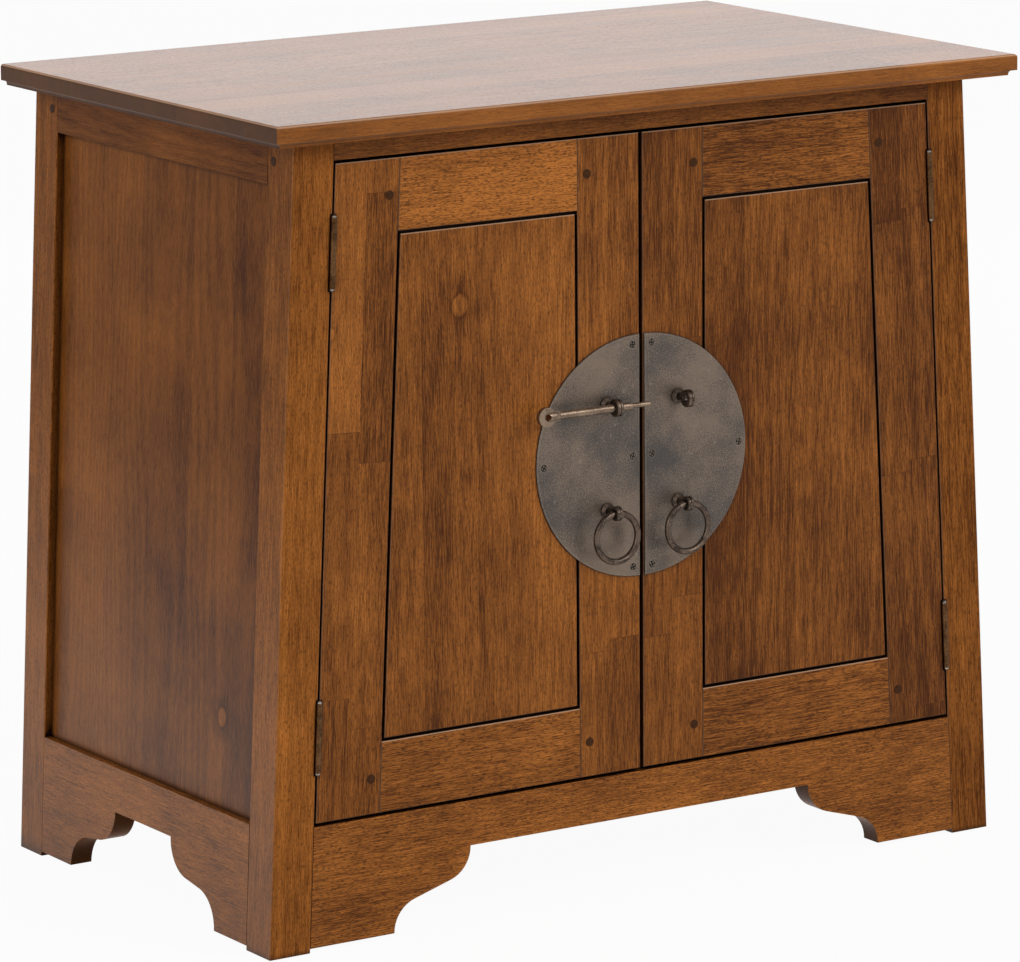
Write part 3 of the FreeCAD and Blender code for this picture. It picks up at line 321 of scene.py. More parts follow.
edges, given, made = new_group("edge_mask", {"Radius": NUMBER, "Reach": NUMBER}, {"Mask": NUMBER})
rounded = put(edges, "ShaderNodeBevel", samples=MASK_SAMPLES)
feed(edges, rounded.inputs["Radius"], given["Radius"])
true_normal = put(edges, "ShaderNodeNewGeometry").outputs["True Normal"]
facing = put(edges, "ShaderNodeVectorMath", operation="DOT_PRODUCT")
feed(edges, facing.inputs[0], rounded.outputs["Normal"])
feed(edges, facing.inputs[1], true_normal)
feed(edges, made["Mask"], ramp(edges, facing.outputs["Value"], 1.0, given["Reach"]))

# Painted shade mask: high where ambient occlusion finds a point shut in.
corners, given, made = new_group("painted_shade_mask", {"Distance": NUMBER}, {"Mask": NUMBER})
shut_in = put(corners, "ShaderNodeAmbientOcclusion", samples=MASK_SAMPLES)
feed(corners, shut_in.inputs["Distance"], given["Distance"])
feed(corners, made["Mask"], ramp(corners, shut_in.outputs["AO"], *CORNER_SHADE_OPENNESS))

# Painted highlight mask: eased edges, strongest where they face up.
arris_highlights, given, made = new_group("arris_highlight_mask", {}, {"Mask": NUMBER})
turned_back = put(arris_highlights, "ShaderNodeVectorTransform", vector_type="NORMAL",
                  convert_from="WORLD", convert_to="OBJECT")
feed(arris_highlights, turned_back.inputs["Vector"], put(arris_highlights, "ShaderNodeNewGeometry").outputs["True Normal"])
normal = turned_back.outputs["Vector"]
leaning = put(arris_highlights, "ShaderNodeSeparateXYZ")
feed(arris_highlights, leaning.inputs["Vector"], calc_vector(arris_highlights, "ABSOLUTE", normal))
level_part = calc(arris_highlights, "MAXIMUM", leaning.outputs["X"], leaning.outputs["Y"])
widest = calc(arris_highlights, "MAXIMUM", level_part, leaning.outputs["Z"])
signed = put(arris_highlights, "ShaderNodeSeparateXYZ")
feed(arris_highlights, signed.inputs["Vector"], normal)
graded = ramp(arris_highlights, signed.outputs["Z"], *ARRIS_LOOKS_UP, ARRIS_LOOKS_DOWN_SHARE, 1.0)
feed(arris_highlights, made["Mask"], calc(arris_highlights, "MULTIPLY", ramp(arris_highlights, widest, *ARRIS_LEAN), graded))
print("groups", edges.name, corners.name, "and", arris_highlights.name)

# %% [markdown]
# Each timber piece gets a material of its own, so that no two pieces share a stave. The grain runs
# along a post or stile and along a rail, so the material turns the object's coordinates with a
# Mapping node. The hinge stiles and posts lean with the sides, and their staves lean with them. The
# mapping also starts the staves at the piece's own edge, which is measured from its mesh.

# %% Timber material for one piece
SIDE_LEANS_IN = 0.037
SIDE_HEIGHT = 0.730
LEAN = math.atan2(SIDE_LEANS_IN, SIDE_HEIGHT)
QUARTER = math.pi / 2
GRAIN_TURNS = {
    "across_front": (0.0, 0.0, 0.0),
    "up_front": (0.0, QUARTER, 0.0),
    "up_leaning_right": (0.0, QUARTER - LEAN, 0.0),
    "up_leaning_left": (0.0, QUARTER + LEAN, 0.0),
    "up_side": (QUARTER, 0.0, QUARTER),
    "front_to_back": (0.0, 0.0, -QUARTER),
    "along_top": (QUARTER, 0.0, 0.0),
}
STAIN_DARK = (0.066, 0.0165, 0.0018, 1.0)
STAIN_LIGHT = (0.475, 0.162, 0.0300, 1.0)
# Nearly black colour of the painted shade in corners, grooves, gaps and metal recesses.
PAINTED_SHADE_COLOR = (0.012, 0.004, 0.0015, 1.0)
TIMBER_SPECULAR = 0.10
TIMBER_BUMP = 0.12
TIMBER_BUMP_DISTANCE = 0.0004
# Pale colour of the painted highlight on eased edges.
ARRIS_HIGHLIGHT_COLOR = (0.56, 0.36, 0.235, 1.0)


def mapping_turn(angles):
    """The rotation that a Mapping node makes of these three angles."""
    x, y, z = (Matrix.Rotation(angle, 3, axis) for angle, axis in zip(angles, "XYZ"))
    return z @ y @ x


def grain_corner(node, angles):
    """Lowest corner of a piece in coordinates turned along its grain."""
    turned = mapping_turn(angles)
    points = [turned @ vertex.co for vertex in node.data.vertices]
    return Vector(min(point[i] for point in points) for i in range(3))


def finish_material(name):
    """A new material with its Principled BSDF."""
    material = bpy.data.materials.new(name)
    material.use_nodes = True
    return material, material.node_tree, material.node_tree.nodes["Principled BSDF"]


def edge_share(tree, radius, reach, strength):
    """How far the edge mask shows, from 0 to strength."""
    mask = put(tree, "ShaderNodeGroup", node_tree=edges)
    mask.inputs["Radius"].default_value = radius
    mask.inputs["Reach"].default_value = reach
    return calc(tree, "MULTIPLY", mask.outputs["Mask"], strength)


def corner_shade_share(tree, distance):
    """How far the painted shade in corners shows, for corners within a distance."""
    mask = put(tree, "ShaderNodeGroup", node_tree=corners)
    mask.inputs["Distance"].default_value = distance
    return mask.outputs["Mask"]


def timber_material(node, turn_name, knot, values, shade_depth, edge_highlight):
    """Stained timber whose staves follow this piece."""
    material, tree, shader = finish_material("timber_" + node.name)
    turn = GRAIN_TURNS[turn_name]
    corner = grain_corner(node, turn)
    coordinates = put(tree, "ShaderNodeTexCoord")
    mapping = put(tree, "ShaderNodeMapping")
    feed(tree, mapping.inputs["Vector"], coordinates.outputs["Object"])
    mapping.inputs["Rotation"].default_value = turn
    mapping.inputs["Location"].default_value = -corner
    turned_normal = put(tree, "ShaderNodeMapping", vector_type="VECTOR")
    feed(tree, turned_normal.inputs["Vector"], coordinates.outputs["Normal"])
    turned_normal.inputs["Rotation"].default_value = turn
    wood = put(tree, "ShaderNodeGroup", node_tree=timber)
    feed(tree, wood.inputs["Vector"], mapping.outputs["Vector"])
    feed(tree, wood.inputs["Normal"], turned_normal.outputs["Vector"])
    values["Knot"] = mapping_turn(turn) @ Vector(knot) - corner
    for label, value in values.items():
        wood.inputs[label].default_value = value
    wood.inputs["Dark"].default_value = STAIN_DARK
    wood.inputs["Light"].default_value = STAIN_LIGHT
    # Painted shade: where ambient occlusion finds corners, grooves and gaps, the colour goes nearly black.
    wood_color = mix_color(tree, corner_shade_share(tree, shade_depth), wood.outputs["Color"], PAINTED_SHADE_COLOR)
    # Painted highlight: the eased edges are lightened, most where they face up.
    highlight_share = put(tree, "ShaderNodeGroup", node_tree=arris_highlights).outputs["Mask"]
    color = mix_color(tree, calc(tree, "MULTIPLY", highlight_share, edge_highlight), wood_color, ARRIS_HIGHLIGHT_COLOR)
    feed(tree, shader.inputs["Base Color"], color)
    feed(tree, shader.inputs["Roughness"], wood.outputs["Roughness"])
    bump = put(tree, "ShaderNodeBump")
    bump.inputs["Strength"].default_value = TIMBER_BUMP
    bump.inputs["Distance"].default_value = TIMBER_BUMP_DISTANCE
    feed(tree, bump.inputs["Height"], wood.outputs["Height"])
    feed(tree, shader.inputs["Normal"], bump.outputs["Normal"])
    shader.inputs["Specular IOR Level"].default_value = TIMBER_SPECULAR
    node.data.materials.clear()
    node.data.materials.append(material)
    return material


# %% [markdown]
# Which way the grain runs, and how wide and long the staves are, follows from what each piece does.
# Posts, rails and aprons are single boards, so their staves are longer than any piece. Stiles are two
# staves wide, and panels and boards have broader staves. A few pieces are lifted or lowered in tone, as
# on the real cabinet, where the upper rail of the left door is the palest piece and the right hinge
# stile one of the darkest. Part of that lifting and lowering is painted light and shade: the left door
# and the left side are lifted and the right post, hinge stile and door panel lowered, as if the light
# fell off from left to right. The seed of a piece decides which of its staves are dark. On the doors it
# was picked so that the dark staves lie about where the real ones do, and three knots are set near
# their places on the real pieces.

# %% Dress the timber
ONE_PIECE = 1000.0
POST = (0.20, ONE_PIECE)
FRAME = (0.033, 0.24)
RAIL = (0.10, ONE_PIECE)
APRON = (0.20, ONE_PIECE)
BOARD = (0.058, 3.0)
SIDE_BOARD = (0.072, 3.0)
grain_plan = {
    "top_board": ("along_top", BOARD),
    "front_left_post": ("up_leaning_right", POST),
    "back_left_post": ("up_leaning_right", POST),
    "front_right_post": ("up_leaning_left", POST),
    "back_right_post": ("up_leaning_left", POST),
    "left_hinge_stile": ("up_leaning_right", FRAME),
    "right_hinge_stile": ("up_leaning_left", FRAME),
    "left_lock_stile": ("up_front", FRAME),
    "right_lock_stile": ("up_front", FRAME),
    "left_door_panel": ("up_front", BOARD),
    "right_door_panel": ("up_front", BOARD),
    "left_panel": ("up_side", SIDE_BOARD),
    "right_panel": ("up_side", SIDE_BOARD),
    "back_panel": ("up_front", SIDE_BOARD),
    "floor_board": ("along_top", BOARD),
    "shelf": ("along_top", BOARD),
    "left_top_rail": ("front_to_back", RAIL),
    "right_top_rail": ("front_to_back", RAIL),
    "left_apron": ("front_to_back", APRON),
    "right_apron": ("front_to_back", APRON),
    "top_cleats": ("front_to_back", RAIL),
    "shelf_cleats": ("front_to_back", RAIL),
    "floor_cleats": ("front_to_back", RAIL),
    "front_apron": ("across_front", APRON),
}
across_front = ("front_top_rail", "back_top_rail", "back_bottom_rail", "door_stop",
                "left_door_top_rail", "left_door_bottom_rail",
                "right_door_top_rail", "right_door_bottom_rail")
grain_plan.update((name, ("across_front", RAIL)) for name in across_front)
# Tone and painted light: the lifts on the left door and left side, and the lowering on the right, also
# stand for light falling off from left to right.
tone_and_light_lift = {
    "left_door_top_rail": 0.56,
    "right_door_top_rail": 0.06,
    "right_door_bottom_rail": 0.16,
    "top_board": 0.34,
    "left_door_bottom_rail": 0.11,
    "left_door_panel": 0.10,
    "left_hinge_stile": 0.04,
    "left_lock_stile": 0.08,
    "front_top_rail": 0.16,
    "front_left_post": 0.13,
    "front_apron": 0.27,
    "back_left_post": 0.26,
    "left_apron": 0.25,
    "right_hinge_stile": -0.09,
    "right_door_panel": -0.04,
    "front_right_post": -0.09,
}
knots = {
    "left_door_panel": ((-0.194, 0.0, 0.569), 0.009),
    "left_hinge_stile": ((-0.328, 0.0, 0.557), 0.005),
    "left_panel": ((0.0, -0.107, 0.198), 0.008),
}
NO_KNOT = ((0.0, 0.0, 9.0), 0.001)
chosen_staves = {
    "left_door_panel": 86,
    "right_door_panel": 1900,
    "left_hinge_stile": 741,
    "left_lock_stile": 689,
    "right_lock_stile": 1119,
    "right_hinge_stile": 807,
}
STILE_SPREAD = 0.42
DOOR_PANEL_SPREAD = 0.34
SIDE_PANEL_SPREAD = 0.21
FRAME_SPREAD = 0.28
FRONT_PORES = 0.85
RAIL_PORES = 1.15
SIDE_PORES = 0.45
# Strength of the painted highlight on eased edges.
ARRIS_HIGHLIGHT_STRENGTH = 0.6
# How far the painted shade in corners reaches; on the back posts it reaches across the side recess.
CORNER_SHADE_DEPTH = 0.006
RECESS_SHADE_DEPTH = 0.02
deep_shade_pieces = ("back_left_post", "back_right_post")
even_pieces = ("left_panel", "right_panel", "top_board")
smooth_pieces = even_pieces + ("left_top_rail", "right_top_rail")
coarse_rails = ("door_top_rail", "door_bottom_rail", "front_apron")


def stave_spread(name):
    """How much the tone changes from stave to stave of a piece."""
    if name.endswith("stile"):
        return STILE_SPREAD
    if name.endswith("door_panel"):
        return DOOR_PANEL_SPREAD
    return SIDE_PANEL_SPREAD if name in even_pieces else FRAME_SPREAD


def pore_strength(name):
    """How strongly the pores of a piece show."""
    if name in smooth_pieces:
        return SIDE_PORES
    return RAIL_PORES if name.endswith(coarse_rails) else FRONT_PORES


for count, (name, (turn_name, (width, length))) in enumerate(sorted(grain_plan.items())):
    knot, knot_radius = knots.get(name, NO_KNOT)
    values = {"Stave Width": width, "Stave Length": length,
              "Seed": float(chosen_staves.get(name, count)), "Spread": stave_spread(name),
              "Lift": tone_and_light_lift.get(name, 0.0), "Pores": pore_strength(name), "Knot Radius": knot_radius}
    # Painted shade reaches further on the back posts; aprons and back posts get no painted edge highlight.
    shade_depth = RECESS_SHADE_DEPTH if name in deep_shade_pieces else CORNER_SHADE_DEPTH
    edge_highlight = 0.0 if name.endswith("apron") or name in deep_shade_pieces else ARRIS_HIGHLIGHT_STRENGTH
    timber_material(nodes[name], turn_name, knot, values, shade_depth, edge_highlight)
print(len(grain_plan), "timber pieces dressed")

# %% [markdown]
# The top is rubbed down and lacquered once more, so it shines most. A separate material for the upper
# face would need that face cut off from the rest. Instead the Coat Weight follows a mask of the faces
# that look up, and the moulded edge has only a trace of it.

# %% Lacquer on the top
COAT_FACING = (0.95, 0.99)
EDGE_COAT = 0.06
TOP_COAT = 0.58
TOP_COAT_ROUGHNESS = 0.26
tree = nodes["top_board"].data.materials[0].node_tree
shader = tree.nodes["Principled BSDF"]
surface = put(tree, "ShaderNodeNewGeometry")
level = put(tree, "ShaderNodeSeparateXYZ")
feed(tree, level.inputs["Vector"], surface.outputs["True Normal"])
feed(tree, shader.inputs["Coat Weight"], ramp(tree, level.outputs["Z"], *COAT_FACING, EDGE_COAT, TOP_COAT))
shader.inputs["Coat Roughness"].default_value = TOP_COAT_ROUGHNESS
print("coat on", nodes["top_board"].name)

# %% [markdown]
# Low on the sides the wax polish has a soft grey sheen that fades out towards the top. It is a thin
# coat again, and its weight follows a mask of the faces that look sideways, stronger further down. A
# low lamp could give such a sheen as well, but only on one side and only from one place. The plain
# shine under the wax is turned down, so the upper part keeps its deep brown.

# %% Wax sheen on the sides
SHEEN_TOP = 0.52
SHEEN_FOOT = 0.06
SHEEN_FACING = (0.80, 0.95)
SHEEN_WEIGHT = 0.45
SHEEN_ROUGHNESS = 0.35
SIDE_SPECULAR = 0.05
sheen, given, made = new_group("side_sheen", {"Vector": VECTOR, "Normal": VECTOR}, {"Mask": NUMBER})
height = put(sheen, "ShaderNodeSeparateXYZ")
feed(sheen, height.inputs["Vector"], given["Vector"])
sideways = put(sheen, "ShaderNodeSeparateXYZ")
feed(sheen, sideways.inputs["Vector"], calc_vector(sheen, "ABSOLUTE", given["Normal"]))
feed(sheen, made["Mask"], calc(sheen, "MULTIPLY", ramp(sheen, sideways.outputs["X"], *SHEEN_FACING),
                               ramp(sheen, height.outputs["Z"], SHEEN_TOP, SHEEN_FOOT)))
waxed = ("left_panel", "left_top_rail", "left_apron", "front_left_post", "back_left_post",
         "right_panel", "right_top_rail", "right_apron", "front_right_post", "back_right_post")
for name in waxed:
    tree = nodes[name].data.materials[0].node_tree
    shader = tree.nodes["Principled BSDF"]
    coordinates = put(tree, "ShaderNodeTexCoord")
    wax = put(tree, "ShaderNodeGroup", node_tree=sheen)
    feed(tree, wax.inputs["Vector"], coordinates.outputs["Object"])
    feed(tree, wax.inputs["Normal"], coordinates.outputs["Normal"])
    feed(tree, shader.inputs["Coat Weight"], calc(tree, "MULTIPLY", wax.outputs["Mask"], SHEEN_WEIGHT))
    shader.inputs["Coat Roughness"].default_value = SHEEN_ROUGHNESS
    shader.inputs["Specular IOR Level"].default_value = SIDE_SPECULAR
print("wax sheen on", len(waxed), "pieces")

# %% [markdown]
# The pegs are cut across the grain, so they drink more stain and end up much darker. Rings could be
# drawn round the middle of each, but a peg is only 8 mm across, so fine noise is enough.

# %% Dark end grain for the pegs
PEG_DARK = (0.018, 0.006, 0.001, 1.0)
PEG_LIGHT = (0.075, 0.026, 0.006, 1.0)
PEG_SPECK_SCALE = 900.0
PEG_SPECK_RANGE = (0.3, 0.7)
PEG_ROUGHNESS = (0.55, 0.40)
peg_wood, tree, shader = finish_material("peg_end_grain")
coordinates = put(tree, "ShaderNodeTexCoord")
specks = noise(tree, coordinates.outputs["Object"], PEG_SPECK_SCALE, detail=3.0, roughness=0.6)
speckled = mix_color(tree, ramp(tree, specks, *PEG_SPECK_RANGE), PEG_DARK, PEG_LIGHT)
feed(tree, shader.inputs["Base Color"], speckled)
feed(tree, shader.inputs["Roughness"], ramp(tree, specks, *PEG_SPECK_RANGE, *PEG_ROUGHNESS))
shader.inputs["Specular IOR Level"].default_value = TIMBER_SPECULAR
for name in ("side_pegs", "left_door_pegs", "right_door_pegs"):
    nodes[name].data.materials.clear()
    nodes[name].data.materials.append(peg_wood)
print("pegs dressed with", peg_wood.name)

# %% [markdown]
# The lock plate is dark patinated iron: cloudy brown and grey patches, pale specks where the patina
# has worn through, and a bright rubbed rim. The rings, eyes, pin, hinges and screws share that
# recipe with other colours, so it is a node group that puts out a colour, a roughness and a height.

# %% Node group for patinated metal
SAND_SCALE = 820.0
SAND_STRENGTH = 1.0
SPECK_SCALE = 260.0
SPECK_RANGE = (0.60, 0.76)
SPECK_STRENGTH = 0.55
CLOUD_RANGE = (0.32, 0.66)
METAL_LEAST_ROUGHNESS = 0.28
CLOUD_ROUGHNESS = 0.22
SAND_ROUGHNESS = 0.12
patina, given, made = new_group(
    "patinated_metal",
    {"Vector": VECTOR, "Dark": COLOR, "Light": COLOR, "Speck": COLOR, "Cloud Scale": NUMBER},
    {"Color": COLOR, "Roughness": NUMBER, "Height": NUMBER})
cloud = noise(patina, given["Vector"], given["Cloud Scale"], detail=8.0, roughness=0.6)
fine = noise(patina, given["Vector"], SAND_SCALE, detail=3.0, roughness=0.65)
speck_noise = noise(patina, given["Vector"], SPECK_SCALE, detail=4.0, roughness=0.7)
sand = calc(patina, "MULTIPLY_ADD", calc(patina, "SUBTRACT", fine, 0.5), SAND_STRENGTH, cloud)
clouded = mix_color(patina, ramp(patina, sand, *CLOUD_RANGE), given["Dark"], given["Light"])
speck_share = calc(patina, "MULTIPLY", ramp(patina, speck_noise, *SPECK_RANGE), SPECK_STRENGTH)
feed(patina, made["Color"], mix_color(patina, speck_share, clouded, given["Speck"]))
graded = calc(patina, "MULTIPLY_ADD", fine, SAND_ROUGHNESS, METAL_LEAST_ROUGHNESS)
feed(patina, made["Roughness"], calc(patina, "MULTIPLY_ADD", cloud, CLOUD_ROUGHNESS, graded))
feed(patina, made["Height"], calc(patina, "ADD", fine, speck_noise))
print("group", patina.name, "has", len(patina.nodes), "nodes")

# %% [markdown]
# Six metals come from that one recipe. The plate is cloudy iron, the eyes and rings are darker forged
# iron, the lock pin is paler bronze rubbed by hands, the hinges are dark brown brass with pale pin
# tips, and the screws are dull steel. One function lays the rubbed rim and painted shade in the
# recesses over the patina, so a metal is a few colours and numbers and not a tree of its own.

# %% Metal materials
RIM_RADIUS = 0.0012
RIM_REACH = 0.88
METAL_BUMP = 0.2
METAL_BUMP_DISTANCE = 0.0003


def metal_material(name, dark, light, speck, cloud_scale, metallic, rim, shade_reach, dullness):
    """Patinated metal with a rubbed rim, painted shade in recesses of a depth, more or less dull."""
    material, tree, shader = finish_material(name)
    coordinates = put(tree, "ShaderNodeTexCoord")
    metal = put(tree, "ShaderNodeGroup", node_tree=patina)
    feed(tree, metal.inputs["Vector"], coordinates.outputs["Object"])
    for label, value in (("Dark", dark), ("Light", light), ("Speck", speck),
                         ("Cloud Scale", cloud_scale)):
        metal.inputs[label].default_value = value
    color = mix_color(tree, edge_share(tree, RIM_RADIUS, RIM_REACH, rim), metal.outputs["Color"], speck)
    # Painted shade: ambient occlusion darkens the recesses of the metal towards a nearly black colour.
    color = mix_color(tree, corner_shade_share(tree, shade_reach), color, PAINTED_SHADE_COLOR)
    feed(tree, shader.inputs["Base Color"], color)
    feed(tree, shader.inputs["Roughness"], calc(tree, "MULTIPLY", metal.outputs["Roughness"], dullness))
    shader.inputs["Metallic"].default_value = metallic
    bump = put(tree, "ShaderNodeBump")
    bump.inputs["Strength"].default_value = METAL_BUMP
    bump.inputs["Distance"].default_value = METAL_BUMP_DISTANCE
    feed(tree, bump.inputs["Height"], metal.outputs["Height"])
    feed(tree, shader.inputs["Normal"], bump.outputs["Normal"])
    return material


plate_iron = metal_material(
    "plate_iron", (0.070, 0.063, 0.059, 1.0), (0.208, 0.153, 0.114, 1.0), (0.40, 0.33, 0.27, 1.0),
    cloud_scale=13.0, metallic=0.80, rim=0.6, shade_reach=0.012, dullness=1.0)
forged_iron = metal_material(
    "forged_iron", (0.026, 0.019, 0.015, 1.0), (0.140, 0.097, 0.071, 1.0), (0.36, 0.28, 0.22, 1.0),
    cloud_scale=90.0, metallic=0.85, rim=0.28, shade_reach=0.004, dullness=0.75)
pin_bronze = metal_material(
    "pin_bronze", (0.120, 0.082, 0.056, 1.0), (0.270, 0.195, 0.138, 1.0), (0.46, 0.36, 0.27, 1.0),
    cloud_scale=80.0, metallic=0.90, rim=0.4, shade_reach=0.002, dullness=0.8)
hinge_brass = metal_material(
    "hinge_brass", (0.045, 0.020, 0.007, 1.0), (0.145, 0.070, 0.027, 1.0), (0.30, 0.19, 0.11, 1.0),
    cloud_scale=60.0, metallic=0.95, rim=0.3, shade_reach=0.007, dullness=0.5)
tip_steel = metal_material(
    "tip_steel", (0.140, 0.115, 0.095, 1.0), (0.460, 0.405, 0.350, 1.0), (0.70, 0.65, 0.60, 1.0),
    cloud_scale=300.0, metallic=0.90, rim=0.4, shade_reach=0.006, dullness=0.5)
screw_steel = metal_material(
    "screw_steel", (0.060, 0.050, 0.043, 1.0), (0.150, 0.120, 0.098, 1.0), (0.30, 0.25, 0.21, 1.0),
    cloud_scale=300.0, metallic=0.85, rim=0.2, shade_reach=0.0016, dullness=1.0)


def metal_of(name):
    """The metal that a frame piece is made of, or None for timber."""
    if "lock_plate" in name:
        return plate_iron
    if name == "lock_pin":
        return pin_bronze
    if name.endswith(("_eye", "_ring")):
        return forged_iron
    if "leaves" in name:
        return hinge_brass
    if name == "hinge_pins":
        return tip_steel
    if "screws" in name or "nuts" in name:
        return screw_steel
    return None


metal_pieces = [name for name in sorted(nodes) if metal_of(name)]
for name in metal_pieces:
    nodes[name].data.materials.clear()
    nodes[name].data.materials.append(metal_of(name))
print(len(metal_pieces), "metal pieces dressed")

# %% [markdown]
# A ring pull is bent from round bar until its ends meet, and the butt shows as a fine slit. The
# frame's ring is a closed hoop, so it is swapped for one spun from a small circle through slightly
# less than a full turn, with the two ends filled. A curve with a round bevel would give the same bar,
# but a spin makes the mesh at once, with its ends in reach for filling.

# %% Bent ring pulls
RING_SLIT = 0.0004
WIRE_SIDES = 20
RING_STEPS = 72
RING_SLIT_PLACE = math.radians(35)
SHARP_ANGLE = math.radians(40)


def add_piece(name, bm, material, body, slot, *replaced):
    """Turns a bmesh into a piece that rides on a body and stands for frame pieces."""
    bmesh.ops.recalc_face_normals(bm, faces=bm.faces)
    mesh = bpy.data.meshes.new(name)
    bm.to_mesh(mesh)
    bm.free()
    mesh.shade_smooth()
    mesh.set_sharp_from_angle(angle=SHARP_ANGLE)
    mesh.materials.append(material)
    piece = bpy.data.objects.new(name, mesh)
    bpy.context.scene.collection.objects.link(piece)
    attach(piece, body)
    if replaced:
        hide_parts(*replaced)
    return piece


def bent_ring(side):
    """A ring of round bar with a slit where its ends meet."""
    low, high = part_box(side + "_ring")
    middle = (low + high) / 2
    wire = (high.y - low.y) / 2
    radius = (high.x - low.x) / 2 - wire
    bm = bmesh.new()
    circle = bmesh.ops.create_circle(bm, segments=WIRE_SIDES, radius=wire)
    bmesh.ops.rotate(bm, verts=circle["verts"], matrix=Matrix.Rotation(QUARTER, 3, "X"))
    bmesh.ops.translate(bm, verts=circle["verts"], vec=(radius, 0.0, 0.0))
    slit = RING_SLIT / radius
    bmesh.ops.spin(bm, geom=bm.edges[:] + bm.verts[:], axis=(0.0, 0.0, 1.0), cent=(0.0, 0.0, 0.0),
                   angle=math.tau - slit, steps=RING_STEPS)
    bmesh.ops.holes_fill(bm, edges=[edge for edge in bm.edges if edge.is_boundary], sides=WIRE_SIDES)
    bmesh.ops.rotate(bm, verts=bm.verts, matrix=Matrix.Rotation(RING_SLIT_PLACE, 3, "Z"))
    bmesh.ops.rotate(bm, verts=bm.verts, matrix=Matrix.Rotation(QUARTER, 3, "X"))
    bmesh.ops.translate(bm, verts=bm.verts, vec=middle)
    return add_piece(side + "_ring_pull", bm, forged_iron, side + "_ring", "forged_iron", side + "_ring")


for side in ("left", "right"):
    ring_pull = bent_ring(side)
    print(ring_pull.name, "has", len(ring_pull.data.polygons), "faces")

# %% [markdown]
# The plate is held by small countersunk screws with a cross recess. The frame has their plain heads.
# Cutting a cross with a boolean would leave slivers, so each head starts from a three by three grid:
# the five faces that make a cross are pushed in, and the rim is extruded outwards to a circle, down
# into the narrow moat round a head that sits in its countersink, and on to the shank.

# %% Cross-headed screws
HEAD_SHARE = 0.78
RECESS_SHARE = 0.45
RECESS_SLIM = 0.8
MOAT_DEPTH_SHARE = 0.3
RECESS_DEPTH_SHARE = 0.5
RECESS_TAPER = 0.8
RECESS_LIP_SHARE = 0.04
DOME_SHARE = 0.06
GRID_INNER_SHARE = 0.9
GRID_MIDDLE_SHARE = 0.1


def ring_out(bm, rim, radius, level):
    """Extrudes a rim of edges to a circle of this radius at this level."""
    grown = bmesh.ops.extrude_edge_only(bm, edges=rim)["geom"]
    for vertex in (item for item in grown if isinstance(item, bmesh.types.BMVert)):
        flat = vertex.co.xy.normalized() * radius
        vertex.co = (flat.x, flat.y, level)
    return [item for item in grown if isinstance(item, bmesh.types.BMEdge) and item.is_boundary]


def cross_head_screw(radius, shank_radius, length):
    """A bmesh of one screw at the origin, its head facing up."""
    bm = bmesh.new()
    half = radius * RECESS_SHARE
    bmesh.ops.create_grid(bm, x_segments=3, y_segments=3, size=half)
    for vertex in bm.verts:
        vertex.co.x *= RECESS_SLIM if abs(vertex.co.x) < half * GRID_INNER_SHARE else 1.0
        vertex.co.y *= RECESS_SLIM if abs(vertex.co.y) < half * GRID_INNER_SHARE else 1.0
    rim = [edge for edge in bm.edges if edge.is_boundary]
    cross = [face for face in bm.faces
             if min(abs(place) for place in face.calc_center_median().xy) < half * GRID_MIDDLE_SHARE]
    bmesh.ops.inset_region(bm, faces=cross, thickness=half * RECESS_LIP_SHARE, use_boundary=False)
    sunk = list({vertex for face in cross for vertex in face.verts})
    bmesh.ops.translate(bm, verts=sunk, vec=(0.0, 0.0, -radius * RECESS_DEPTH_SHARE))
    bmesh.ops.scale(bm, verts=sunk, vec=(RECESS_TAPER, RECESS_TAPER, 1.0))
    bmesh.ops.subdivide_edges(bm, edges=rim, cuts=1)
    rim = [edge for edge in bm.edges if edge.is_boundary]
    head, moat = radius * HEAD_SHARE, -radius * MOAT_DEPTH_SHARE
    rim = ring_out(bm, rim, head, -radius * DOME_SHARE)
    rim = ring_out(bm, rim, head, moat)
    rim = ring_out(bm, rim, radius, moat)
    rim = ring_out(bm, rim, shank_radius, shank_radius - radius)
    rim = ring_out(bm, rim, shank_radius, -length)
    bmesh.ops.holes_fill(bm, edges=rim, sides=len(rim))
    return bm


PLATE_SCREW_RADIUS = 0.0035
PLATE_SHANK_RADIUS = 0.0017
PLATE_SCREW_LENGTH = 0.012
SCREW_TURNS = (20, 55, 75, 5)
MERGE_DISTANCE = 1e-6


def loose_shapes(node):
    """Middle and front of each separate shape in a frame piece, from a merged copy of its mesh."""
    bm = bmesh.new()
    bm.from_mesh(node.data)
    bmesh.ops.remove_doubles(bm, verts=bm.verts, dist=MERGE_DISTANCE)
    unseen = set(bm.verts)
    middles = []
    while unseen:
        shape = set()
        to_visit = [unseen.pop()]
        while to_visit:
            vertex = to_visit.pop()
            shape.add(vertex)
            near = {edge.other_vert(vertex) for edge in vertex.link_edges} & unseen
            unseen -= near
            to_visit += near
        corner_low = Vector(min(vertex.co[i] for vertex in shape) for i in range(3))
        corner_high = Vector(max(vertex.co[i] for vertex in shape) for i in range(3))
        middles.append(((corner_low + corner_high) / 2, corner_low.y))
    bm.free()
    return sorted(middles, key=lambda item: (item[0].z, item[0].x))


